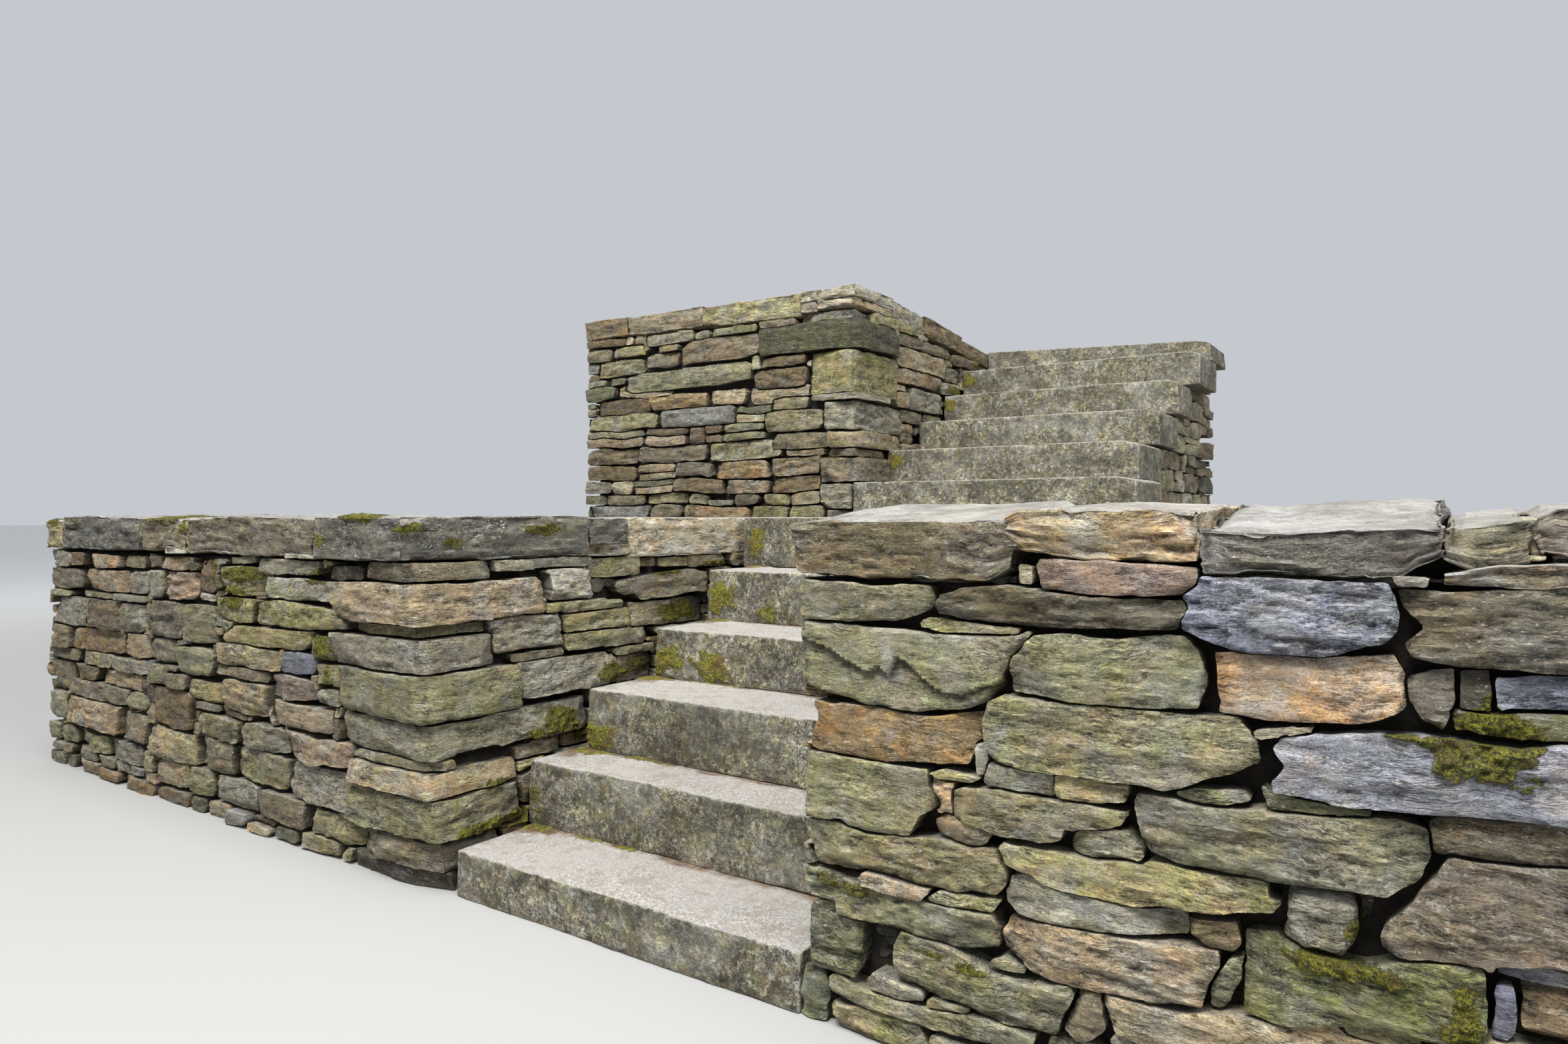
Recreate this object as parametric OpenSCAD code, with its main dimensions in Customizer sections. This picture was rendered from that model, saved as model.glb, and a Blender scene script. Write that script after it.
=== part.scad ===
// Garden stair of split granite slabs set into dry-stone retaining walls.
// Lower flight, landing and upper flight climb along +Y. +X is to the right
// of a person who faces the stair, +Z is up and z = 0 is the level it stands on.

/* [Lower flight] */
// Visible height of each lower step, from the first one up
lower_rise = [139, 206, 208, 181, 199, 211]; // [120:1:230]
// Distance from each lower riser face to the next one
lower_going = [302, 216, 314, 345, 292]; // [180:1:420]
// Left end of each lower slab, measured across the stair
lower_left_end = [0, -24, 28, 55, 30, -14]; // [-40:1:80]
// Right end of the lower slabs, where they meet the right cheek wall
lower_right_end = 1236; // [1150:1:1300]
// How far each slab runs back under the next one
slab_tuck = 80; // [50:5:120]
// Depth of the last lower slab, which is also the front of the landing
lower_last_depth = 371; // [300:1:450]

/* [Landing] */
// Length of the landing behind the last lower slab
landing_len = 959; // [700:1:1200]
// Thickness of the flagstones on the landing
landing_slab_t = 90; // [60:5:120]
// Number of flagstones across the landing's length
landing_slabs = 3; // [3:1:3]
// Open joint between two flagstones
landing_joint = 6; // [4:1:15]

/* [Upper flight] */
// Visible height of each upper step, from the first one up
upper_rise = [194, 201, 201, 201, 201, 192]; // [150:1:230]
// Distance from each upper riser face to the next one
upper_going = [420, 407, 370, 305, 435]; // [250:1:460]
// Left end of the upper slabs, where they meet the upper side wall
upper_left_end = -242; // [-300:1:-200]
// Right end of each upper slab
upper_right_end = [1283, 1188, 1196, 1212, 1270, 1250]; // [1100:1:1320]
// Depth of the top slab
upper_last_depth = 501; // [350:1:550]
// Drop of the top slab from its left end to its right end
top_slab_drop = 60; // [0:5:80]
// Length of the worn corner at each upper slab's right end
end_wear_w = 90; // [20:5:140]
// Height of the worn corner at each upper slab's right end
end_wear_h = 30; // [10:5:60]

/* [Lower walls] */
// Thickness of the dry-stone walls
wall_t = 450; // [380:10:520]
// Height of the lower walls with their caps
lower_wall_h = 1146; // [1000:1:1250]
// Thickness of the caps on the lower left wall
lower_cap_t = 146; // [110:1:170]
// Thickness of the caps on the lower right wall
right_cap_t = 135; // [100:1:160]
// Position of the lower left wall's far end
lower_left_x = -2955; // [-3400:5:-2820]
// Position of the lower right wall's end
lower_right_x = 2955; // [2820:5:3400]
// How far the lower left wall's face stands in front of the first riser
left_face_lead = 37; // [0:1:60]
// Lean of the corner of the lower left wall, from its foot to its top
corner_lean = 185; // [60:5:220]
// Lean of the far end of the lower left cheek, from its foot to its top
cheek_lean = 55; // [0:5:90]

/* [Upper walls] */
// Height of the upper left walls at the corner, with their caps
upper_wall_h = 2455; // [2200:5:2600]
// Thickness of the caps on the upper left walls
upper_cap_t = 120; // [90:5:150]
// Position of the upper left wall's far end
upper_left_x = -2330; // [-2800:10:-1800]
// Fall of the upper side wall's top from the corner to its far end
upper_side_fall = 150; // [0:5:200]

/* [Hidden] */

// sum of the first n entries of v
function upto(v, n) = n <= 0 ? 0 : v[n - 1] + upto(v, n - 1);

// length of each flight and of the whole stair
lower_len = upto(lower_going, 5) + lower_last_depth;
upper_len = upto(upper_going, 5) + upper_last_depth;
stair_len = lower_len + landing_len + upper_len;
// the stair and its walls are centred front to back on the origin
back_y = (stair_len + left_face_lead) / 2;
front_y = -back_y;
step_y = front_y + left_face_lead;
landing_y = step_y + lower_len;
upper_y = landing_y + landing_len;

function lower_y(i) = step_y + upto(lower_going, i);
function lower_z(i) = upto(lower_rise, i);
function lower_back(i) = i == 5 ? landing_y : lower_y(i + 1) + slab_tuck;
landing_z = lower_z(6);
function upper_front(i) = upper_y + upto(upper_going, i);
function upper_z(i) = landing_z + upto(upper_rise, i);
function upper_back(i) = i == 5 ? back_y : upper_front(i + 1) + slab_tuck;

// faces of the walls
wall_front_y = front_y;
cheek_left_x = -640;
cheek_foot_front = -20;
cheek_foot_back = 12;
cheek_back_y = landing_y;
right_face_x = lower_right_end;
upper_face_y = upper_y + 8;
lower_body_h = lower_wall_h - lower_cap_t;
right_body_h = lower_wall_h - right_cap_t + 6;
upper_body_h = upper_wall_h - upper_cap_t;
cap_joint = 8;
corner_cap_x = -705;

granite = [0.66, 0.65, 0.61];
granite_worn = [0.72, 0.71, 0.68];
schist = [0.45, 0.42, 0.35];
schist_cap = [0.52, 0.51, 0.48];
rubble = [0.36, 0.34, 0.29];

// a plain rectangular slab between two corners
module block(x0, y0, z0, x1, y1, z1) {
  translate([x0, y0, z0]) cube([x1 - x0, y1 - y0, z1 - z0]);
}

// a split slab drawn by its front view, with a worn right corner and a top that may drop
module worn_slab(x0, x1, y0, y1, z0, z1, drop = 0) {
  translate([0, y1, 0]) rotate([90, 0, 0])
    linear_extrude(height = y1 - y0)
      polygon([[x0, z0], [x1, z0], [x1, z1 - end_wear_h - drop],
               [x1 - end_wear_w, z1 - drop], [x0, z1]]);
}

// a shape drawn in the side view (y, z) and run across from x0 to x1
module side_profile(x0, x1, pts) {
  translate([x0, 0, 0]) rotate([90, 0, 90])
    linear_extrude(height = x1 - x0) polygon(pts);
}

module lower_step(i) {
  color(i == 0 ? granite_worn : granite)
    block(lower_left_end[i], lower_y(i), lower_z(i),
          lower_right_end, lower_back(i), lower_z(i + 1));
}

module upper_step(i) {
  color(granite)
    worn_slab(upper_left_end, upper_right_end[i], upper_front(i), upper_back(i),
              upper_z(i), upper_z(i + 1), i == 5 ? top_slab_drop : 0);
}

module lower_step_1() { lower_step(0); }
module lower_step_2() { lower_step(1); }
module lower_step_3() { lower_step(2); }
module lower_step_4() { lower_step(3); }
module lower_step_5() { lower_step(4); }
module lower_step_6() { lower_step(5); }

module upper_step_1() { upper_step(0); }
module upper_step_2() { upper_step(1); }
module upper_step_3() { upper_step(2); }
module upper_step_4() { upper_step(3); }
module upper_step_5() { upper_step(4); }
module upper_step_6() { upper_step(5); }

// one flagstone of the landing
module landing_slab(i) {
  pitch = landing_len / landing_slabs;
  color(schist_cap)
    block(-14, landing_y + i * pitch + landing_joint / 2, landing_z - landing_slab_t,
          lower_right_end, landing_y + (i + 1) * pitch - landing_joint / 2, landing_z);
}
module landing_slab_front() { landing_slab(0); }
module landing_slab_middle() { landing_slab(1); }
module landing_slab_back() { landing_slab(2); }

// rubble that carries the lower slabs: its top is stepped to meet their undersides
module lower_flight_base() {
  color(rubble)
    side_profile(40, lower_right_end, concat(
      [[lower_back(0), 0]],
      [for (i = [0:4]) each [[lower_back(i), lower_z(i + 1)], [lower_back(i + 1), lower_z(i + 1)]]],
      [[landing_y, 0]]));
}

module landing_base() {
  color(rubble)
    block(0, landing_y, 0, lower_right_end - 6, upper_y, landing_z - landing_slab_t);
}

// rubble that carries the upper slabs
module upper_flight_base() {
  color(rubble)
    side_profile(upper_left_end, 1170, concat(
      [[upper_y, 0], [upper_y, landing_z]],
      [for (i = [0:4]) each [[upper_back(i), upper_z(i)], [upper_back(i), upper_z(i + 1)]]],
      [[back_y, upper_z(5)], [back_y, 0]]));
}

module lower_left_front_wall() {
  color(schist)
    block(lower_left_x, wall_front_y, 0, cheek_left_x, wall_front_y + wall_t, lower_body_h);
}

// the cheek beside the lower flight: upright at the far end and leaning at the corner,
// so its face is slightly twisted
module cheek_solid(z0, z1) {
  f = cheek_foot_front;
  b = cheek_foot_back;
  k0 = z0 / lower_wall_h;
  k1 = z1 / lower_wall_h;
  y0 = wall_front_y;
  y1 = cheek_back_y;
  polyhedron(
    points = [
      [cheek_left_x, y0, z0], [f - k0 * corner_lean, y0, z0], [b - k0 * cheek_lean, y1, z0], [cheek_left_x, y1, z0],
      [cheek_left_x, y0, z1], [f - k1 * corner_lean, y0, z1], [b - k1 * cheek_lean, y1, z1], [cheek_left_x, y1, z1]],
    faces = [[0, 1, 2, 3], [7, 6, 5, 4], [0, 4, 5, 1], [1, 5, 6], [1, 6, 2], [2, 6, 7, 3], [3, 7, 4, 0]]);
}

module lower_left_cheek_wall() {
  color(schist) cheek_solid(0, lower_body_h);
}

// caps on the front of the lower left wall, cut at these places across
module lower_left_front_caps() {
  cuts = [lower_left_x, -2770, -1990, -1595, corner_cap_x];
  color(schist_cap)
    for (i = [0:3])
      block(cuts[i] + (i == 0 ? 0 : cap_joint / 2), wall_front_y, lower_body_h,
            cuts[i + 1] - cap_joint / 2, wall_front_y + wall_t, lower_wall_h);
}

// the long cap that turns the corner
module lower_left_corner_cap() {
  xr = cheek_foot_front - corner_lean;
  xb = -90;
  yb = -2010;
  color(schist_cap)
    translate([0, 0, lower_body_h]) linear_extrude(height = lower_cap_t)
      polygon([[corner_cap_x + cap_joint / 2, wall_front_y], [xr, wall_front_y], [xb, yb], [cheek_left_x, yb],
               [cheek_left_x, wall_front_y + wall_t], [corner_cap_x + cap_joint / 2, wall_front_y + wall_t]]);
}

// the cap along the far half of the cheek
module lower_left_cheek_cap() {
  color(schist_cap)
    translate([0, 0, lower_body_h]) linear_extrude(height = lower_cap_t)
      polygon([[cheek_left_x, -2010 + cap_joint], [-90, -2010 + cap_joint],
               [cheek_foot_back - cheek_lean, cheek_back_y], [cheek_left_x, cheek_back_y]]);
}

module lower_right_front_wall() {
  color(schist)
    block(right_face_x, step_y, 0, lower_right_x, step_y + wall_t, right_body_h);
}

module lower_right_cheek_wall() {
  color(schist)
    block(right_face_x, step_y + wall_t, 0, right_face_x + wall_t, landing_y, right_body_h);
}

// the row of big caps on the lower right wall, cut at these places across
module lower_right_front_caps() {
  cuts = [right_face_x - 14, 1738, 2096, 2456, 2570, 2770, lower_right_x];
  color(schist_cap)
    for (i = [0:5])
      block(cuts[i] + (i == 0 ? 0 : cap_joint / 2), step_y, right_body_h,
            cuts[i + 1] - (i == 5 ? 0 : cap_joint / 2), step_y + wall_t, right_body_h + right_cap_t);
}

module lower_right_cheek_caps() {
  y0 = step_y + wall_t;
  mid = (y0 + landing_y) / 2;
  color(schist_cap) {
    block(right_face_x, y0 + cap_joint, right_body_h, right_face_x + wall_t, mid - cap_joint / 2, right_body_h + right_cap_t);
    block(right_face_x, mid + cap_joint / 2, right_body_h, right_face_x + wall_t, landing_y, right_body_h + right_cap_t);
  }
}

module upper_left_front_wall() {
  color(schist)
    block(upper_left_x, upper_face_y, 0, upper_left_end - wall_t, upper_face_y + wall_t, upper_body_h);
}

// side wall of the upper flight: its top falls gently towards the far end
module upper_left_side_wall() {
  color(schist)
    side_profile(upper_left_end - wall_t, upper_left_end,
      [[upper_face_y, 0], [upper_face_y, upper_body_h], [upper_face_y + wall_t, upper_body_h],
       [back_y, upper_body_h - upper_side_fall], [back_y, 0]]);
}

module upper_left_front_caps() {
  cuts = [upper_left_x, -1880, -1265, -560, upper_left_end];
  color(schist_cap)
    for (i = [0:3])
      block(cuts[i] + (i == 0 ? 0 : cap_joint / 2), upper_face_y, upper_body_h,
            cuts[i + 1] - (i == 3 ? 0 : cap_joint / 2), upper_face_y + wall_t, upper_wall_h);
}

// caps on the side wall: they lie on its sloping top
module upper_left_side_caps() {
  y0 = upper_face_y + wall_t;
  run = back_y - y0;
  function top(y) = upper_body_h - upper_side_fall * (y - y0) / run;
  cuts = [y0, y0 + run * 0.36, y0 + run * 0.68, back_y];
  color(schist_cap)
    for (i = [0:2]) {
      a = cuts[i] + cap_joint / 2;
      b = cuts[i + 1] - (i == 2 ? 0 : cap_joint / 2);
      side_profile(upper_left_end - wall_t, upper_left_end,
        [[a, top(a)], [b, top(b)], [b, top(b) + upper_cap_t], [a, top(a) + upper_cap_t]]);
    }
}

lower_step_1();
lower_step_2();
lower_step_3();
lower_step_4();
lower_step_5();
lower_step_6();
landing_slab_front();
landing_slab_middle();
landing_slab_back();
upper_step_1();
upper_step_2();
upper_step_3();
upper_step_4();
upper_step_5();
upper_step_6();
lower_flight_base();
landing_base();
upper_flight_base();
lower_left_front_wall();
lower_left_cheek_wall();
lower_left_front_caps();
lower_left_corner_cap();
lower_left_cheek_cap();
lower_right_front_wall();
lower_right_cheek_wall();
lower_right_front_caps();
lower_right_cheek_caps();
upper_left_front_wall();
upper_left_side_wall();
upper_left_front_caps();
upper_left_side_caps();
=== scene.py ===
import bpy, math, random
import numpy as np
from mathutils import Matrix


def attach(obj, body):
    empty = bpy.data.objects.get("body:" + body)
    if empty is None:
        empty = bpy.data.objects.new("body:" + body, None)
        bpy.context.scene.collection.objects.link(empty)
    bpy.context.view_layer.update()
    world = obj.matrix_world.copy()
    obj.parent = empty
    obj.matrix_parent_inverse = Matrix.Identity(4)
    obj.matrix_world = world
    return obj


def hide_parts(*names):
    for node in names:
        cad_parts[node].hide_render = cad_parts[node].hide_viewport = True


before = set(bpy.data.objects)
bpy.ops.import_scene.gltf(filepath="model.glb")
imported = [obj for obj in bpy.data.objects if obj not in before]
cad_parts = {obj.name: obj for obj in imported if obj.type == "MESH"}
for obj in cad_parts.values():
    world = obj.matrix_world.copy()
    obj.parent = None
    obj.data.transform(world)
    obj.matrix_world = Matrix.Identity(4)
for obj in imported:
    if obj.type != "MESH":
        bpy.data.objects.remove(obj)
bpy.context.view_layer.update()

MM = 0.001


# ---------------------------------------------------------------- noise
def _hash(ix, iy, iz, seed):
    n = (ix * 374761393 + iy * 668265263 + iz * 1440662683 + seed * 1274126177) & 0xFFFFFFFF
    n = ((n ^ (n >> 13)) * 1103515245) & 0xFFFFFFFF
    n = ((n ^ (n >> 15)) * 668265263) & 0xFFFFFFFF
    n = n ^ (n >> 16)
    return (n & 0xFFFFFF) / float(0xFFFFFF)


def noise(x, y, z=0.0, seed=0):
    """smooth value noise, -1 to 1"""
    x, y, z = np.broadcast_arrays(np.asarray(x, float), np.asarray(y, float), np.asarray(z, float))
    x, y, z = 0.8 * y + 0.6 * z, -0.8 * x + 0.36 * y - 0.48 * z, -0.6 * x - 0.48 * y + 0.64 * z
    fx, fy, fz = np.floor(x), np.floor(y), np.floor(z)
    ix, iy, iz = fx.astype(np.int64), fy.astype(np.int64), fz.astype(np.int64)
    x, y, z = x - fx, y - fy, z - fz
    x = x * x * x * (x * (x * 6 - 15) + 10)
    y = y * y * y * (y * (y * 6 - 15) + 10)
    z = z * z * z * (z * (z * 6 - 15) + 10)
    r = 0
    for a in (0, 1):
        wx = x if a else 1 - x
        for b in (0, 1):
            wy = y if b else 1 - y
            r = r + wx * wy * ((1 - z) * _hash(ix + a, iy + b, iz, seed) + z * _hash(ix + a, iy + b, iz + 1, seed))
    return r * 2 - 1


def fbm(x, y, z=0.0, seed=0, octaves=4, gain=0.5):
    r, amp, tot = 0, 1.0, 0
    for o in range(octaves):
        r = r + amp * noise(x * 2 ** o, y * 2 ** o, np.asarray(z) * 2 ** o, seed + o * 17)
        tot += amp
        amp *= gain
    return r / tot


def smooth(a, b, x):
    t = np.clip((x - a) / (b - a), 0, 1)
    return t * t * (3 - 2 * t)


def layers(q, p, seed, sharp=0.25):
    """a stack of beds: q counts the beds, p runs along them; each bed stands out by its own amount"""
    i = np.floor(q)
    f = q - i
    a = noise(p, i * 7.31, 0.5, seed)
    b = noise(p, (i + 1) * 7.31, 0.5, seed)
    return a + (b - a) * smooth(1 - sharp, 1, f)


# ---------------------------------------------------------------- colours
def lin(c):
    c = np.array(c, float) / 255.0
    return np.where(c <= 0.04045, c / 12.92, ((c + 0.055) / 1.055) ** 2.4)


PAL = {
    "ol": (126, 120, 94), "gg": (124, 121, 101), "gy": (130, 126, 113), "gb": (116, 107, 90),
    "bg": (107, 109, 122), "rs": (130, 112, 83), "or": (158, 141, 119), "tn": (146, 134, 110),
    "pk": (142, 127, 107), "br": (108, 93, 71), "dk": (74, 69, 58), "dg": (98, 98, 79),
    "yo": (138, 131, 95), "bs": (160, 151, 131), "lg": (152, 149, 138), "pu": (124, 112, 103),
    "sl": (92, 89, 84), "mg": (106, 99, 86), "db": (92, 82, 63), "wg": (122, 123, 134), "lo": (112, 109, 90),
    "og": (103, 104, 72), "ts": (148, 134, 106), "do": (76, 75, 52), "sg": (121, 121, 119),
}
# rust, green film, lichen for each colour
TRAIT = {
    "ol": (0.35, 0.75, 0.25), "gg": (0.25, 0.6, 0.35), "gy": (0.25, 0.35, 0.4), "gb": (0.5, 0.35, 0.3),
    "bg": (0.06, 0.05, 0.3), "rs": (0.95, 0.35, 0.2), "or": (0.9, 0.1, 0.25), "tn": (0.55, 0.35, 0.3),
    "pk": (0.7, 0.3, 0.35), "br": (0.7, 0.35, 0.2), "dk": (0.2, 0.4, 0.3), "dg": (0.15, 0.6, 0.25),
    "yo": (0.45, 0.85, 0.35), "bs": (0.35, 0.25, 0.4), "lg": (0.2, 0.2, 0.5), "pu": (0.4, 0.25, 0.3),
    "sl": (0.1, 0.25, 0.6), "mg": (0.4, 0.3, 0.5), "db": (0.5, 0.25, 0.2), "wg": (0.15, 0.1, 0.5),
    "lo": (0.35, 0.6, 0.5), "og": (0.2, 0.9, 0.3),
    "ts": (0.32, 0.2, 0.25), "do": (0.1, 0.8, 0.3), "sg": (0.1, 0.2, 0.4),
}
MIX = ["ol", "ol", "gg", "gy", "gb", "gb", "rs", "tn", "br", "pk", "gy", "dg", "sg", "yo", "tn"]


# ---------------------------------------------------------------- meshes
def box_blur(A, M, r):
    """mean of A over a square of half-width r, counting only where M is set"""
    def run(X):
        for ax in (0, 1):
            n = X.shape[ax]
            pad = [(0, 0), (0, 0)]
            pad[ax] = (1, 0)
            c = np.cumsum(np.pad(X, pad), axis=ax)
            lo = np.clip(np.arange(n) - r, 0, n)
            hi = np.clip(np.arange(n) + r + 1, 0, n)
            X = np.take(c, hi, axis=ax) - np.take(c, lo, axis=ax)
        return X
    m = M.astype(float)
    for k in range(2):
        A = run(np.where(M, A, 0)) / np.maximum(run(m), 1)
    return A


def terrace(h, sharp=0.22):
    """a staircase: flat cleaved levels with quick breaks between them"""
    i = np.floor(h)
    return i + smooth(1 - sharp, 1, h - i)


def make_object(name, co, quads, tris, attrs, material, nodes, sharp=34.0):
    """co in mm; quads and tris are index arrays"""
    me = bpy.data.meshes.new(name)
    co = np.asarray(co, float) * MM
    co[:, 2] = np.maximum(co[:, 2], 0.0)
    quads = np.asarray(quads, np.int64).reshape(-1, 4)
    tris = np.asarray(tris, np.int64).reshape(-1, 3)
    nq, nt = len(quads), len(tris)
    me.vertices.add(len(co))
    me.vertices.foreach_set("co", co.astype(np.float32).ravel())
    me.loops.add(nq * 4 + nt * 3)
    me.loops.foreach_set("vertex_index", np.concatenate([quads.ravel(), tris.ravel()]).astype(np.int32))
    me.polygons.add(nq + nt)
    start = np.concatenate([np.arange(nq) * 4, nq * 4 + np.arange(nt) * 3]).astype(np.int32)
    me.polygons.foreach_set("loop_start", start)
    me.update(calc_edges=True)
    me.validate()
    me.shade_smooth()
    me.set_sharp_from_angle(angle=math.radians(sharp))
    for key, val in attrs.items():
        val = np.asarray(val, np.float32)
        if val.ndim == 1:
            a = me.attributes.new(key, "FLOAT", "POINT")
            a.data.foreach_set("value", val)
        else:
            a = me.attributes.new(key, "FLOAT_VECTOR", "POINT")
            a.data.foreach_set("vector", val.ravel())
    ob = bpy.data.objects.new(name, me)
    bpy.context.scene.collection.objects.link(ob)
    me.materials.append(material)
    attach(ob, "root")
    if nodes:
        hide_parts(*nodes)
    return ob


class Soup:
    """collects parts of one joined mesh"""
    def __init__(self):
        self.co, self.q, self.t, self.n = [], [], [], 0
        self.at = {k: [] for k in ("tex", "col", "kk", "moss", "edg", "cav")}

    def add(self, co, quads, tris, **at):
        self.co.append(co)
        if len(quads):
            self.q.append(np.asarray(quads) + self.n)
        if len(tris):
            self.t.append(np.asarray(tris) + self.n)
        for k in self.at:
            self.at[k].append(np.asarray(at[k], float))
        self.n += len(co)

    def build(self, name, material, slot, nodes):
        q = np.concatenate(self.q) if self.q else []
        t = np.concatenate(self.t) if self.t else []
        at = {k: np.concatenate(v) for k, v in self.at.items()}
        return make_object(name, np.concatenate(self.co), q, t, at, material, nodes)


# ---------------------------------------------------------------- walls of separate stones
class Path:
    """a run of wall faces seen from above, given by its corners; u runs along it, v is the height"""
    def __init__(self, pts, anchor, u_anchor):
        self.pts = [p if callable(p) else (lambda v, p=p: (p[0] + 0 * v, p[1] + 0 * v)) for p in pts]
        self.anchor, self.u_anchor = anchor, u_anchor

    def __call__(self, u, v, d):
        P = [p(v) for p in self.pts]
        n = len(P)
        seg = []
        for k in range(n - 1):
            dx, dy = P[k + 1][0] - P[k][0], P[k + 1][1] - P[k][1]
            L = np.hypot(dx, dy)
            seg.append((dx / L, dy / L, L))
        U = [None] * n
        U[self.anchor] = self.u_anchor + 0 * v
        for k in range(self.anchor, n - 1):
            U[k + 1] = U[k] + seg[k][2]
        for k in range(self.anchor, 0, -1):
            U[k - 1] = U[k] - seg[k - 1][2]
        x = y = nx = ny = None
        for k in range(n - 1):
            dx, dy, L = seg[k]
            t = u - U[k]
            xk, yk = P[k][0] + dx * t, P[k][1] + dy * t
            if k == 0:
                x, y, nx, ny = xk, yk, dy + 0 * t, -dx + 0 * t
            else:
                m = t >= 0
                x, y = np.where(m, xk, x), np.where(m, yk, y)
                nx, ny = np.where(m, dy, nx), np.where(m, -dx, ny)
        pull = 0 * u
        w = 30.0
        for k in range(1, n - 1):
            a, b = seg[k - 1], seg[k]
            t = (u - U[k]) / w
            near = np.abs(t) < 1
            s = np.clip(t * 0.5 + 0.5, 0, 1)
            s = s * s * (3 - 2 * s)
            mx, my = a[1] * (1 - s) + b[1] * s, -a[0] * (1 - s) - b[0] * s
            ml = np.hypot(mx, my) + 1e-9
            convex = a[0] * b[1] - a[1] * b[0] > 0
            use = near & convex
            nx, ny = np.where(use, mx / ml, nx), np.where(use, my / ml, ny)
            pull = np.where(use, -2.5 * (1 - np.abs(t)) ** 2, pull)
        d = d + pull
        return np.stack([x + nx * d, y + ny * d, v + 0 * d], -1)


def rounded(poly, cut):
    """cuts each corner of a polygon into a short curve"""
    p = np.array(poly, float)
    out = []
    n = len(p)
    for i in range(n):
        a, b, c = p[i - 1], p[i], p[(i + 1) % n]
        la, lc = np.linalg.norm(a - b), np.linalg.norm(c - b)
        ra, rc = min(cut, la * 0.42), min(cut, lc * 0.42)
        s, e = b + (a - b) / la * ra, b + (c - b) / lc * rc
        out += [s, (s + 2 * b + e) / 4, e]
    return np.array(out)


def sdf(poly, U, V):
    """signed distance into a polygon, positive inside"""
    d2 = np.full(U.shape, 1e12)
    inside = np.zeros(U.shape, bool)
    n = len(poly)
    for i in range(n):
        ax, ay = poly[i]
        bx, by = poly[(i + 1) % n]
        ex, ey = bx - ax, by - ay
        L = ex * ex + ey * ey + 1e-9
        t = np.clip(((U - ax) * ex + (V - ay) * ey) / L, 0, 1)
        dx, dy = U - ax - t * ex, V - ay - t * ey
        d2 = np.minimum(d2, dx * dx + dy * dy)
        c = ((ay > V) != (by > V)) & (U < (bx - ax) * (V - ay) / (by - ay + 1e-12) + ax)
        inside ^= c
    d = np.sqrt(d2)
    return np.where(inside, d, -d)


class Stone:
    def __init__(self, poly, col, rnd, **o):
        self.poly = np.array(poly, float)
        self.col = col
        self.o = o
        lo, hi = self.poly.min(0), self.poly.max(0)
        self.lo, self.hi = lo, hi
        self.c = (lo + hi) / 2
        self.w, self.h = hi - lo
        m = min(self.w, self.h)
        g = rnd.uniform
        self.seed = rnd.randrange(1 << 20)
        self.R = min(o.get("R", g(1.0, 3.2)), m * 0.12)
        self.gap = g(0.8, 6.4) if m > 45 else g(0.3, 2.6)
        self.d0 = o["d"] * 1.5 + g(-3, 3) if "d" in o else g(-14, 13)
        self.turned = False
        self.side_d = g(-16, 14)
        self.cuts = [(g(-0.5, 0.5), g(9, 32), g(8, 20))]
        if rnd.random() < 0.7:
            self.cuts.append((g(-0.6, 0.6), g(8, 44), g(1, 6)))
        self.la = o.get("la", g(0.6, 1.0)) * min(5.2, 1.4 + m * 0.035)
        self.lt = o.get("lt", g(14, 34) if m > 50 else g(7, 12))
        self.ll = g(90, 190)
        self.lv = self.ll * g(0.2, 0.34)
        self.tilt_u, self.tilt_v = g(-0.035, 0.035), g(-0.09, 0.09)
        self.bt = o.get("bt", g(-0.06, 0.06))
        self.rough = o.get("rough", g(0.8, 1.25))
        self.planes = []

        def reach(du, dv):
            return float(((self.poly[:, 0] - self.c[0]) * du + (self.poly[:, 1] - self.c[1]) * dv).max())
        if o.get("facets", True):
            for k in range(rnd.choice([2, 3, 4])):
                a = rnd.choice([math.pi / 2, -math.pi / 2, 0, math.pi, g(0, 6.28)]) + g(-0.5, 0.5)
                du, dv = math.cos(a), math.sin(a)
                ext = reach(du, dv)
                lim = ext * g(0.25, 0.8) if ext < 120 else ext - g(25, 110)
                self.planes.append((du, dv, g(0.10, 0.42) * o.get("fm", 1.0), lim, 6.0))
        for k in range(rnd.choice([2, 3, 4, 5]) if m > 75 else rnd.choice([1, 2, 3])):
            a = rnd.choice([0, math.pi, g(0, 6.283), g(0, 6.283)]) + g(-0.5, 0.5)
            du, dv = math.cos(a), math.sin(a)
            self.planes.append((du, dv, g(0.5, 1.5), reach(du, dv) - min(g(2, 20), m * 0.2), 2.0))
        self.toff = np.array([g(0, 40), g(0, 40), g(0, 40)])
        self.trot = o.get("trot", g(-0.06, 0.06))
        base = lin(PAL[col]) * (1 + (g(0.78, 1.20) - 1) * o.get("vary", 1.0))
        base = base * np.array([g(0.97, 1.03), g(0.98, 1.02), g(0.95, 1.05)])
        self.rgb = base
        t = TRAIT[col]
        self.kk = (np.clip(t[0] * g(0.7, 1.2), 0, 1), np.clip(o.get("film", t[1] * g(0.6, 1.3)), 0, 1),
                   np.clip(o.get("lich", t[2] * g(0.6, 1.3)), 0, 1))
        self.warp = o.get("warp", 1.0)


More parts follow.
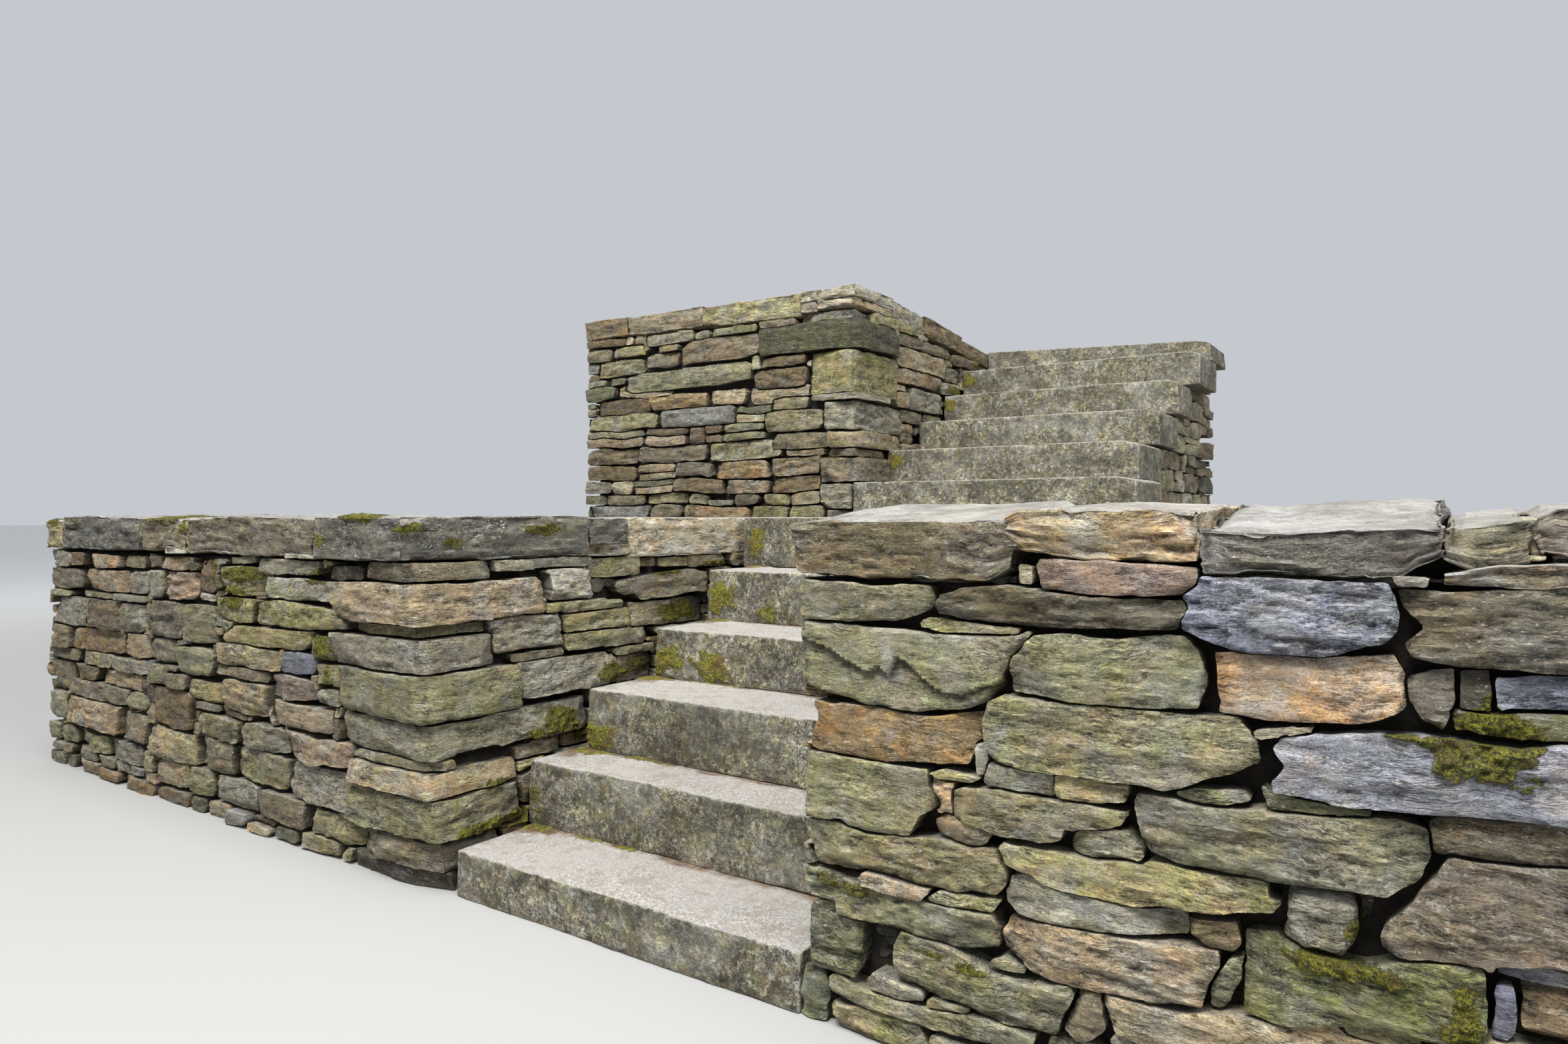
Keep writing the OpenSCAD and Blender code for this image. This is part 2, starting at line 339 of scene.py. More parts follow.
def box_poly(x0, x1, z0, z1, rnd):
    g = rnd.uniform
    h, w = z1 - z0, x1 - x0
    j = min(7, h * 0.09)
    k = min(16, w * 0.08)
    c = min(h * 0.34, w * 0.2, 30)
    pts = []
    for (cx, cz, sx, sz) in ((x0, z0, 1, 1), (x1, z0, -1, 1), (x1, z1, -1, -1), (x0, z1, 1, -1)):
        a, b = c * g(0.1, 1.0), c * g(0.1, 1.0)
        px, pz = cx + sx * g(0, k), cz + sz * g(0, j)
        p = [(px, pz + sz * b), (px + sx * a, pz)]
        if (sx, sz) in ((-1, 1), (1, -1)):
            p = p[::-1]
        pts.append(p)
    out = list(pts[0])
    if w > 150:
        out.append((x0 + w * g(0.35, 0.65), z0 + g(-j, j) * 0.8))
    out += pts[1]
    out += pts[2]
    if w > 150:
        out.append((x0 + w * g(0.35, 0.65), z1 + g(-j, j) * 0.8))
    out += pts[3]
    return out


class Panel:
    def __init__(self, u0, u1, v0, v1, cell, path, seed, joint=1.6, deep=75.0, low=None, high=None):
        self.cell, self.path, self.joint, self.deep = cell, path, joint, deep
        self.us = np.arange(u0, u1 + cell * 0.5, cell)
        self.vs = np.arange(v0, v1 + cell * 0.5, cell)
        self.U, self.V = np.meshgrid(self.us, self.vs, indexing="ij")
        self.best = np.full(self.U.shape, -1e6)
        self.second = np.full(self.U.shape, -1e6)
        self.label = np.full(self.U.shape, -1)
        self.stones, self.rnd, self.seed = [], random.Random(seed), seed
        self.mute, self.mean, self.gain = 0.0, lin((116, 109, 91)), 1.0
        self.low, self.high = low, high
        self.stop = None
        self.moss = []
        self.grow = 2.2
        self.least = 7.0
        self.corner = None
        self.broken = 1.0
        self.cover = None

    def window(self, st, pad=28):
        i0 = max(0, int((st.lo[0] - pad - self.us[0]) / self.cell))
        i1 = min(len(self.us), int((st.hi[0] + pad - self.us[0]) / self.cell) + 2)
        j0 = max(0, int((st.lo[1] - pad - self.vs[0]) / self.cell))
        j1 = min(len(self.vs), int((st.hi[1] + pad - self.vs[0]) / self.cell) + 2)
        return slice(i0, i1), slice(j0, j1)

    def field(self, st, U, V):
        s = self.seed * 31
        k = st.warp
        a = 3.4 * k * noise(U / 46, V / 30, 3.3, s + st.seed) + 1.6 * k * noise(U / 15, V / 11, 1.3, s + st.seed + 5)
        b = 2.6 * k * noise(U / 60, V / 38, 7.7, s + st.seed + 9) + 1.2 * k * noise(U / 17, V / 12, 2.2, s + st.seed + 3)
        if st.fill:
            a = a + 9 * noise(U / 210, V / 120, 5.1, s)
            b = b + 13 * noise(U / 260, V / 170, 9.1, s + 1)
        d = sdf(st.shape, U + a, V + b) + self.grow - st.gap * np.clip(0.25 + 1.5 * noise(U / 90, V / 45, 0.4, s + st.seed + 7), 0, 1.3)
        if self.low is not None:
            d = np.minimum(d, V - self.low(U) + 4 * noise(U / 60, 0, 0, s))
        if self.high is not None:
            d = np.minimum(d, self.high(U) - V)
        if self.stop is not None:
            d = np.minimum(d, self.stop(V) - U + 2.0)
        return d

    def put(self, st, fill=False):
        st.fill = fill
        st.shape = rounded(st.poly, st.o.get("cut", min(3.0, min(st.w, st.h) * 0.1)))
        w = self.window(st, 45 if fill else 28)
        U, V = self.U[w], self.V[w]
        if U.size == 0:
            return
        d = self.field(st, U, V)
        if fill and self.cover is not None:
            d = np.minimum(d, -self.cover[w] - 2.5)
        if self.corner is not None:
            t = float(self.corner(st.c[1]))
            st.turned = st.lo[0] < t - 25 and st.hi[0] > t + 25
        st.win, st.d = w, d
        if self.mute:
            st.rgb = st.rgb * (1 - self.mute) + self.mute * self.mean * (st.rgb.sum() / self.mean.sum())
        st.rgb = st.rgb * self.gain
        st.id = len(self.stones)
        self.stones.append(st)
        b, s, l = self.best[w], self.second[w], self.label[w]
        win = d > b
        s[:] = np.where(win, b, np.maximum(s, d))
        l[:] = np.where(win, st.id, l)
        b[:] = np.where(win, d, b)

    def explicit(self, rows):
        for r in rows:
            col, pts = r[0], r[1]
            o = r[2] if len(r) > 2 else {}
            if len(pts) == 4 and not isinstance(pts[0], tuple):
                pts = box_poly(pts[0], pts[1], pts[2], pts[3], self.rnd)
            self.put(Stone(pts, col, self.rnd, **{"vary": 0.22, **o}))

    def rubble(self, u0, u1, v0, v1, row=(62, 132), ratio=(1.5, 4.4), cols=MIX, seed=1, **o):
        """fills what is left with coursed rubble"""
        self.cover = self.best.copy()
        rnd = random.Random(seed)
        v = v0
        while v < v1 - 20:
            h = rnd.uniform(*row)
            if v1 - v - h < row[0] * 0.7:
                h = v1 - v
            if h > row[1] * 1.3:
                h = h / 2
            u = u0 - rnd.uniform(0, 200)
            while u < u1:
                L = min(max(h * rnd.uniform(*ratio), 110), 620)
                a, b = max(u, u0), min(u + L, u1)
                if b - a > 35:
                    r = rnd.random()
                    if r < 0.16 and h > 80:
                        m = v + h * rnd.uniform(0.35, 0.65)
                        for (p, q) in ((v, m), (m, v + h)):
                            self.put(Stone(box_poly(a + 2, b - 2, p + 1, q - 1, rnd), rnd.choice(cols), rnd, **o), True)
                    elif r < 0.24 and L > 240:
                        m = a + (b - a) * rnd.uniform(0.3, 0.7)
                        k = v + h * rnd.uniform(0.45, 0.6)
                        c = rnd.choice(cols)
                        self.put(Stone(box_poly(a + 2, m - 1, v + 1, v + h - 1, rnd), c, rnd, **o), True)
                        self.put(Stone(box_poly(m + 1, b - 2, v + 1, k - 1, rnd), rnd.choice(cols), rnd, **o), True)
                        self.put(Stone(box_poly(m + 1, b - 2, k + 1, v + h - 1, rnd), rnd.choice(cols), rnd, **o), True)
                    else:
                        self.put(Stone(box_poly(a + 2, b - 2, v + 1, v + h - 1, rnd), rnd.choice(cols), rnd, **o), True)
                u += L
            v += h

    def relief(self, st, u, v, e):
        cu, cv = st.c
        s = st.seed
        du, dv = u - cu, v - cv
        wob = 6.0 * noise(u / 85, v / 60, 0.2, s) + 2.4 * noise(u / 27, v / 22, 0.7, s + 1)
        vb = dv - st.bt * du + wob
        h = fbm(u / st.ll, vb / st.lv, 0.4, s + 12, 3, 0.55)
        lay = (terrace(h * 3.6 + 7.3, 0.16) - 7.3) * st.la * 0.84
        band = smooth(-0.15, 0.35, noise(u / 120, v / 70, 0.8, s + 13))
        lay = lay + layers(vb / st.lt + 11.3, u / st.ll, s + 2) * st.la * 0.80 * band
        lay = lay + (terrace(noise(u / 46, vb / 13, 0.1, s + 3) * 1.9 + 5.4, 0.3) - 5.4) * 0.95 * st.rough
        f = 0 * u
        for (a, b, m, off, wav) in st.planes:
            f = np.minimum(f, -m * (a * du + b * dv - off + wav * noise(u / 38, v / 38, 0.1, s + 4)))
        f = np.maximum(f, -30)
        n = 1.6 * fbm(u / 95, v / 52, 0.4, s + 5, 3) + 1.3 * np.abs(noise(u / 26, vb / 9, 0.9, s + 6)) - 0.6
        n = n + 0.7 * noise(u / 12, vb / 6, 0.3, s + 7)
        R = st.R * (1 + 0.6 * noise(u / 30, v / 30, 0.6, s + 8))
        t = np.clip((e - self.joint) / np.maximum(R, 1), 0, 1)
        edge = -R * (1 - np.sqrt(np.clip(1 - (1 - t) ** 2, 0, 1)))
        d = st.d0 + st.tilt_u * du + st.tilt_v * dv + lay + f + n * st.rough
        if st.turned:
            t = u - self.corner(v)
            if "end" not in st.o:
                d = d + st.side_d * smooth(-14, 14, t)
        feat = st.o.get("feat")
        if feat:
            d = d + feat(u, v)
        end = st.o.get("end")
        if end:
            d = d + end * smooth(XR + 9, XR - 9, u)
        return d, edge

    def build(self, soup, want=None, rings_wanted=2):
        c = self.cell
        for st in self.stones:
            if want is not None and not want(st):
                continue
            w, d = st.win, st.d
            other = np.where(self.label[w] == st.id, self.second[w], self.best[w])
            E = np.minimum(d, (d - other) / 2) - self.joint
            if E.max() < (self.least if st.fill else 5.0):
                continue
            U, V = self.U[w], self.V[w]
            cell = (E[:-1, :-1] + E[1:, :-1] + E[:-1, 1:] + E[1:, 1:]) / 4 > 0
            # skip stones that cover fewer than three cells
            if cell.sum() < 3:
                continue
            ni, nj = E.shape
            ids = -np.ones((ni, nj), int)
            used = np.zeros((ni, nj), bool)
            inner = np.ones((ni, nj), bool)
            pad = np.zeros((ni + 1, nj + 1), bool)
            pad[1:ni, 1:nj] = cell
            cnt = pad[:-1, :-1].astype(int) + pad[1:, :-1] + pad[:-1, 1:] + pad[1:, 1:]
            used = cnt > 0
            bound = used & (cnt < 4)
            ids[used] = np.arange(used.sum())
            u, v = U[used].copy(), V[used].copy()
            ee = E[used].copy()
            bd = bound[used]
            gx, gy = np.gradient(E, c)
            g2 = gx ** 2 + gy ** 2 + 1e-4
            sx, sy = (-E * gx / g2)[used], (-E * gy / g2)[used]
            L = np.hypot(sx, sy) + 1e-9
            k = np.minimum(1, c * 0.8 / L)
            gxu, gyu = gx[used], gy[used]
            gl = np.hypot(gxu, gyu) + 1e-6
            u[bd] += (sx * k)[bd]
            v[bd] += (sy * k)[bd]
            ee[bd] = 0
            if st.turned:
                t = u - self.corner(v)
                u = np.where(np.abs(t) < c * 0.5, u - t, u)
            depth, rim = self.relief(st, u, v, ee + self.joint)
            # how far each point stands out from its neighbours, raised near the stone's edge: the schist material
            # paints this as highlight on bumps and edges and as shade in hollows
            D = np.zeros((ni, nj))
            D[used] = depth
            near = max(1, int(round(11.0 / c)))
            cav = (depth - box_blur(D, used, near)[used]) / 3.0 + 0.35 * np.exp(-ee / 5.0)
            depth = depth + rim
            mo = self.moss_at(u, v)
            depth = depth + mo * (6 + 13 * np.abs(noise(u / 19, v / 19, 0.5, 5)) + 7 * noise(u / 10, v / 10, 0.5, 6))
            i, j = np.nonzero(cell)
            quads = np.stack([ids[i, j], ids[i + 1, j], ids[i + 1, j + 1], ids[i, j + 1]], -1)
            # boundary edges, each directed so that the stone is on its left
            edges = []
            ii, jj = np.nonzero(cell & ~pad[1:ni, 0:nj - 1])
            edges.append(np.stack([ids[ii, jj], ids[ii + 1, jj]], -1))
            ii, jj = np.nonzero(cell & ~pad[2:ni + 1, 1:nj])
            edges.append(np.stack([ids[ii + 1, jj], ids[ii + 1, jj + 1]], -1))
            ii, jj = np.nonzero(cell & ~pad[1:ni, 2:nj + 1])
            edges.append(np.stack([ids[ii + 1, jj + 1], ids[ii, jj + 1]], -1))
            ii, jj = np.nonzero(cell & ~pad[0:ni - 1, 1:nj])
            edges.append(np.stack([ids[ii, jj + 1], ids[ii, jj]], -1))
            edges = np.concatenate(edges)
            bi = np.unique(edges)
            nb, n0 = len(bi), len(u)
            loc = -np.ones(n0, int)
            loc[bi] = np.arange(nb)
            inx, iny = gxu[bi] / gl[bi], gyu[bi] / gl[bi]
            rings = []
            ub, vb, db = u[bi], v[bi], depth[bi]
            if rings_wanted == 2:
                jit = noise(ub / 24, vb / 24, 0.5, st.seed) * 2.0
                rings.append((ub + inx * (1.2 + jit), vb + iny * (1.2 + jit), db - 16.0))
            rings.append((ub + inx * 6.0, vb + iny * 6.0, 0 * db - self.deep))
            U3 = np.concatenate([u] + [r[0] for r in rings] + [[st.c[0]]])
            V3 = np.concatenate([v] + [r[1] for r in rings] + [[st.c[1]]])
            D3 = np.concatenate([depth] + [r[2] for r in rings] + [[-self.deep]])
            a, b = edges[:, 0], edges[:, 1]
            la, lb = loc[a], loc[b]
            q = [quads]
            q.append(np.stack([b, a, n0 + la, n0 + lb], -1))
            k0 = n0
            if rings_wanted == 2:
                q.append(np.stack([n0 + lb, n0 + la, n0 + nb + la, n0 + nb + lb], -1))
                k0 = n0 + nb
            t = np.stack([k0 + lb, k0 + la, np.full(len(la), k0 + nb)], -1)
            q = np.concatenate(q)
            xyz = self.path(U3, V3, D3)
            if st.turned:
                self.break_arris(st, xyz, U3, V3)
            ct, stn = math.cos(st.trot), math.sin(st.trot)
            tu, tv = U3 - st.c[0], V3 - st.c[1]
            tex = np.stack([ct * tu + stn * tv, D3, -stn * tu + ct * tv], -1) * MM + st.toff
            nv = len(U3)
            edg = np.concatenate([ee, np.zeros(nv - n0)])
            mo = np.concatenate([mo, np.zeros(nv - n0)])
            mo[n0:n0 + nb] = mo[bi] * 0.7
            # the stone's sides inside the joints get the lowest value: painted shade deep in the joints
            cav = np.concatenate([np.clip(cav, -1, 1.2), np.full(nv - n0, -1.0)])
            soup.add(xyz, q, t, tex=tex, col=np.tile(st.rgb, (nv, 1)), kk=np.tile(st.kk, (nv, 1)),
                     moss=mo, edg=edg, cav=cav)

    def break_arris(self, st, xyz, u, v):
        """the arris of a stone that turns a corner is broken away along a plane or two"""
        uc = self.corner(v)
        C = self.path(uc, v, 0 * v)
        n = self.path(uc, v, 0 * v + 1.0) - C
        s = st.seed
        for k, (a, cut, soft) in enumerate(st.cuts):
            cut, soft = cut * self.broken, soft * self.broken
            ca, sa = math.cos(a), math.sin(a)
            nx, ny = n[:, 0] * ca - n[:, 1] * sa, n[:, 0] * sa + n[:, 1] * ca
            far = (xyz[:, 0] - C[:, 0]) * nx + (xyz[:, 1] - C[:, 1]) * ny
            lim = st.d0 - cut * (1 + 0.45 * noise(v / 80, 0.3, 0.1, s + 30 + k)) + 4.5 * noise(u / 34, v / 16, 0.6, s + 33 + k) \
                + 2.2 * layers(v / st.lt + 3.3, u / 90, s + 35 + k)
            over = np.maximum(far - lim, 0)
            cutby = over - soft * (1 - np.exp(-over / soft))
            xyz[:, 0] -= cutby * nx
            xyz[:, 1] -= cutby * ny

    def moss_at(self, u, v):
        m = 0 * u
        for (mu, mv, ru, rv, k) in self.moss:
            r = np.hypot((u - mu) / ru, (v - mv) / rv) + 0.6 * fbm(u / 34, v / 30, 0.3, 91, 4, 0.65)
            m = np.maximum(m, k * smooth(1.12, 0.5, r))
        return m


# ---------------------------------------------------------------- rounded slabs
def rbox(L, r, cell):
    """a closed box of size L with rounded edges: points, normals, quads and the distance to the nearest edge"""
    lines = []
    for a in range(3):
        k = max(2, int(round((L[a] - 2 * r) / cell[a])))
        lines.append(np.concatenate([[0, 0.18 * r, 0.5 * r], np.linspace(r, L[a] - r, k + 1),
                                     [L[a] - 0.5 * r, L[a] - 0.18 * r, L[a]]]))
    P, Q, n = [], [], 0
    for a in range(3):
        b, c = (a + 1) % 3, (a + 2) % 3
        B, C = np.meshgrid(lines[b], lines[c], indexing="ij")
        nb, nc = B.shape
        idx = np.arange(nb * nc).reshape(nb, nc)
        q = np.stack([idx[:-1, :-1], idx[1:, :-1], idx[1:, 1:], idx[:-1, 1:]], -1).reshape(-1, 4)
        for side in (0, 1):
            p = np.zeros((nb * nc, 3))
            p[:, b], p[:, c], p[:, a] = B.ravel(), C.ravel(), side * L[a]
            P.append(p)
            Q.append((q if side else q[:, ::-1]) + n)
            n += nb * nc
    P, Q = np.concatenate(P), np.concatenate(Q)
    key = np.round(P * 100).astype(np.int64)
    _, first, inv = np.unique(key, axis=0, return_index=True, return_inverse=True)
    inv = inv.ravel()
    P, Q = P[first], inv[Q]
    Lv = np.array(L, float)
    flat = P.copy()
    q = np.clip(P, r, Lv - r)
    nrm = P - q
    ln = np.linalg.norm(nrm, axis=1, keepdims=True)
    nrm = nrm / np.maximum(ln, 1e-9)
    P = q + r * nrm
    dist = np.sort(np.minimum(flat, Lv - flat), axis=1)[:, 1]
    return P, nrm, Q, dist, flat


def relax(x, Q, n, times):
    """mean over neighbours along the mesh's edges"""
    e = np.concatenate([Q[:, [0, 1]], Q[:, [1, 2]], Q[:, [2, 3]], Q[:, [3, 0]]])
    w = np.bincount(e[:, 0], minlength=n) + np.bincount(e[:, 1], minlength=n)
    for k in range(times):
        a = np.bincount(e[:, 0], weights=x[e[:, 1]], minlength=n) + np.bincount(e[:, 1], weights=x[e[:, 0]], minlength=n)
        x = 0.3 * x + 0.7 * a / np.maximum(w, 1)
    return x


def slab(soup, L, r, cell, place, rnd, col, disp, moss=None, trait=None, rgb=None, corner_tint=None):
    """a displaced rounded box; place maps local mm to the shared frame"""
    P, N, Q, dist, flat = rbox(L, r, cell)
    s = rnd.randrange(1 << 20)
    d = disp(P, N, dist, s, L)
    P2 = P + N * d[:, None]
    xyz = place(P2)
    # how far each point stands out from its neighbours, raised near the edges: the schist material paints it as
    # highlight on bumps and edges and as shade in hollows; on the granite it drives the corner tint
    cav = np.clip((d - relax(d, Q, len(P), 6)) / 2.6 + 0.5 * np.exp(-dist / 5.0), -1, 1.2)
    toff = np.array([rnd.uniform(0, 40) for _ in range(3)])
    rgb = lin(PAL[col]) * rnd.uniform(0.92, 1.08) if rgb is None else np.array(rgb)
    t = TRAIT.get(col, (0.3, 0.3, 0.3)) if trait is None else trait
    mo = moss(xyz) if moss is not None else np.zeros(len(P))
    if moss is not None:
        push = mo * (4 + 9 * np.abs(noise(xyz[:, 0] / 17, xyz[:, 1] / 17, xyz[:, 2] / 17, 5)))
        xyz = xyz + N * push[:, None]
    # the corner tint mask lowers the value further, so the granite is browner and darker there
    if corner_tint is not None:
        cav = np.clip(cav - corner_tint(xyz, N), -1, 1.2)
    soup.add(xyz, Q, [], tex=P2 * MM + toff, col=np.tile(rgb, (len(P), 1)), kk=np.tile(t, (len(P), 1)),
             moss=mo, edg=dist, cav=cav)


def schist_disp(amp=1.0, top=1.0, lt=22.0):
    def f(P, N, dist, s, L):
        x, y, z = P.T
        side = np.clip(1 - np.abs(N[:, 2]), 0, 1)
        along = np.where(np.abs(N[:, 0]) > np.abs(N[:, 1]), y + 900, x)
        wob = 7 * noise(x / 110, y / 110, z / 60, s) + 2.5 * noise(x / 30, y / 30, z / 25, s + 1)
        zb = z + wob
        h = fbm(along / 150, zb / 42, 0.3, s + 12, 3, 0.55)
        lay = (terrace(h * 3.4 + 7.3) - 7.3) * 3.6
        band = smooth(-0.2, 0.3, noise(along / 140, zb / 60, 0.7, s + 13))
        lay = lay + layers(zb / lt + 5.2, along / 130, s + 2) * 5.5 * band + layers(zb / (lt * 0.4), along / 60, s + 3, 0.4) * 2.0
        n = 5.5 * fbm(x / 150, y / 150, z / 80, s + 4, 3) + 1.5 * np.abs(noise(x / 20, y / 20, z / 10, s + 5)) \
            + 0.8 * noise(x / 9, y / 9, z / 6, s + 6)
        d = side * (lay + n) * amp
        tz = (1 - side) * top
        q = fbm(x / 170, y / 130, 0.5, s + 7, 3)
        d = d + tz * (2.4 * q + 1.0 * (terrace(q * 3.2 + 9.1, 0.3) - 9.1) + 0.4 * noise(x / 22, y / 22, 0, s + 9))
        chip = smooth(0.05, 0.6, noise(along / 48, z / 60, 0.3, s + 10)) * np.exp(-dist / 11.0) * 11
        chip = chip + smooth(0.2, 0.5, noise(along / 130, z / 90, 0.6, s + 11)) * np.clip(26 - dist, 0, 26) * 0.45
        return d - chip * amp
    return f


def granite_disp(P, N, dist, s, L):
    x, y, z = P.T
    up = np.clip(N[:, 2], 0, 1)
    side = np.clip(1 - np.abs(N[:, 2]), 0, 1)
    n = 3.6 * fbm(x / 210, y / 150, z / 110, s, 3) + 1.6 * noise(x / 34, y / 34, z / 26, s + 1) \
        + 1.0 * noise(x / 13, y / 13, z / 11, s + 2)
    d = side * n + up * (1.3 * fbm(x / 260, y / 200, 0, s + 3, 2) + 0.25 * noise(x / 20, y / 20, 0, s + 4))
    # small spalls along the arris
    c = smooth(0.15, 0.8, noise(x / 55, y / 60, z / 60, s + 5)) * np.exp(-dist / 6.0) * 3.5
    c = c + np.exp(-dist / 4.0) * 1.0 * (1 + noise(x / 18, y / 18, z / 18, s + 6))
    c = c + smooth(0.6, 0.85, noise(x / 120, y / 90, z / 90, s + 7)) * np.clip(16 - dist, 0, 16) * 0.35
    return d - c


def hexa(x0, x1, y0, y1, zb, zt, L, back_rise=0.0, front=None, slant0=0.0, slant1=0.0, ragged=0.0, seed=0):
    """placing function: a box whose underside and top follow the curves zb and zt"""
    def curve(c, x):
        if callable(c):
            return c(x)
        if np.isscalar(c):
            return c + 0 * x
        p = np.array(c, float)
        return np.interp(x, p[:, 0], p[:, 1])

    def f(P):
        tx, ty, tz = P[:, 0] / L[0], P[:, 1] / L[1], P[:, 2] / L[2]
        x = x0 + tx * (x1 - x0)
        y = y0 + ty * (y1 - y0)
        b = curve(zb, x)
        t = curve(zt, x) + back_rise * smooth(0.0, 1.0, np.clip(ty, 0, 1))
        if ragged:
            b = b + ragged * (0.8 * noise(x / 75, y / 120, 0.2, seed) + 0.5 * noise(x / 26, y / 60, 0.2, seed + 1))
            t = t + ragged * 0.45 * (noise(x / 110, y / 140, 0.8, seed + 2) + 0.5 * noise(x / 34, y / 60, 0.8, seed + 3))
        z = b + tz * (t - b)
        x = x + slant0 * (1 - tx) * (0.5 - tz) + slant1 * tx * (0.5 - tz)
        if ragged:
            x = x + ragged * 1.3 * noise(y / 90, z / 45, tx, seed + 4) * np.abs(2 * tx - 1)
            y = y + ragged * 1.0 * noise(x / 120, z / 60, 0.4, seed + 5) * (1 - np.clip(ty, 0, 1))
        if front is not None:
            y = y + front(x, z) * (1 - np.clip(ty, 0, 1))
        return np.stack([x, y, z], -1)
    return f


# ---------------------------------------------------------------- materials
class Nodes:
    def __init__(self, name):
        self.m = bpy.data.materials.new(name)
        self.m.use_nodes = True
        self.t = self.m.node_tree
        self.t.nodes.clear()
        self.out = self.t.nodes.new("ShaderNodeOutputMaterial")
        self.p = self.t.nodes.new("ShaderNodeBsdfPrincipled")
        self.link(self.p.outputs[0], self.out.inputs[0])

    def link(self, a, b):
        self.t.links.new(a, b)

    def set(self, node, i, v):
        if v is None:
            return
        s = node.inputs[i]
        if isinstance(v, bpy.types.NodeSocket):
            self.link(v, s)
        else:
            s.default_value = v

    def math(self, op, a, b=None, c=None, clamp=False):
        n = self.t.nodes.new("ShaderNodeMath")
        n.operation, n.use_clamp = op, clamp
        for i, v in enumerate((a, b, c)):
            self.set(n, i, v)
        return n.outputs[0]

    def vmath(self, op, a, b=None, scale=None):
        n = self.t.nodes.new("ShaderNodeVectorMath")
        n.operation = op
        self.set(n, 0, a)
        self.set(n, 1, b)
        if scale is not None:
            self.set(n, 3, scale)
        return n.outputs[0]

    def attr(self, name, kind="Fac"):
        n = self.t.nodes.new("ShaderNodeAttribute")
        n.attribute_name = name
        return n.outputs[kind]

    def noise(self, vec, scale, detail=3.0, rough=0.5, dist=0.0):
        n = self.t.nodes.new("ShaderNodeTexNoise")
        self.set(n, "Vector", vec)
        n.inputs["Scale"].default_value = scale
        n.inputs["Detail"].default_value = detail
        n.inputs["Roughness"].default_value = rough
        n.inputs["Distortion"].default_value = dist
        return n.outputs["Fac"]

    def voronoi(self, vec, scale, out="Distance", feature="F1", rand=1.0):
        n = self.t.nodes.new("ShaderNodeTexVoronoi")
        n.feature = feature
        self.set(n, "Vector", vec)
        n.inputs["Scale"].default_value = scale
        n.inputs["Randomness"].default_value = rand
        return n.outputs[out]

    def step(self, x, a, b, lo=0.0, hi=1.0):
        n = self.t.nodes.new("ShaderNodeMapRange")
        n.interpolation_type = "SMOOTHSTEP"
        self.set(n, 0, x)
        n.inputs[1].default_value, n.inputs[2].default_value = a, b
        n.inputs[3].default_value, n.inputs[4].default_value = lo, hi
        return n.outputs[0]

    def mix(self, f, a, b, mode="MIX"):
        n = self.t.nodes.new("ShaderNodeMix")
        n.data_type, n.blend_type = "RGBA", mode
        self.set(n, 0, f)
        for i, v in ((6, a), (7, b)):
            if isinstance(v, bpy.types.NodeSocket):
                self.link(v, n.inputs[i])
            else:
                n.inputs[i].default_value = (*[float(c) for c in v], 1.0) if len(v) == 3 else v
        return n.outputs[2]

    def scale_xyz(self, vec, s):
        n = self.t.nodes.new("ShaderNodeMapping")
        self.set(n, 0, vec)
        n.inputs["Scale"].default_value = s
        return n.outputs[0]

    def up(self):
        g = self.t.nodes.new("ShaderNodeNewGeometry")
        s = self.t.nodes.new("ShaderNodeSeparateXYZ")
        self.link(g.outputs["Normal"], s.inputs[0])
        return s.outputs[2]

    def bump(self, height, dist, strength=1.0, normal=None):
        n = self.t.nodes.new("ShaderNodeBump")
        n.inputs["Strength"].default_value = strength
        n.inputs["Distance"].default_value = dist
        self.link(height, n.inputs["Height"])
        if normal is not None:
            self.link(normal, n.inputs["Normal"])
        return n.outputs[0]


def L3(*c):
    return tuple(float(v) for v in lin(c))


def drift(N, T, c, warm, green, cool):
    """warm, green and cool drifts within one stone's colour"""
    m = N.mix(N.math("MULTIPLY", N.step(N.noise(T, 12.0, 6, 0.68), 0.46, 0.60), cool), (1.0, 1.0, 1.0), (0.94, 1.0, 1.15))
    m = N.mix(N.math("MULTIPLY", N.step(N.noise(T, 21.0, 7, 0.72), 0.47, 0.59), warm), m, (1.22, 1.0, 0.66))
    m = N.mix(N.math("MULTIPLY", N.step(N.noise(T, 15.0, 6, 0.70), 0.48, 0.60), green), m, (0.95, 1.05, 0.62))
    return N.vmath("MULTIPLY", c, m)


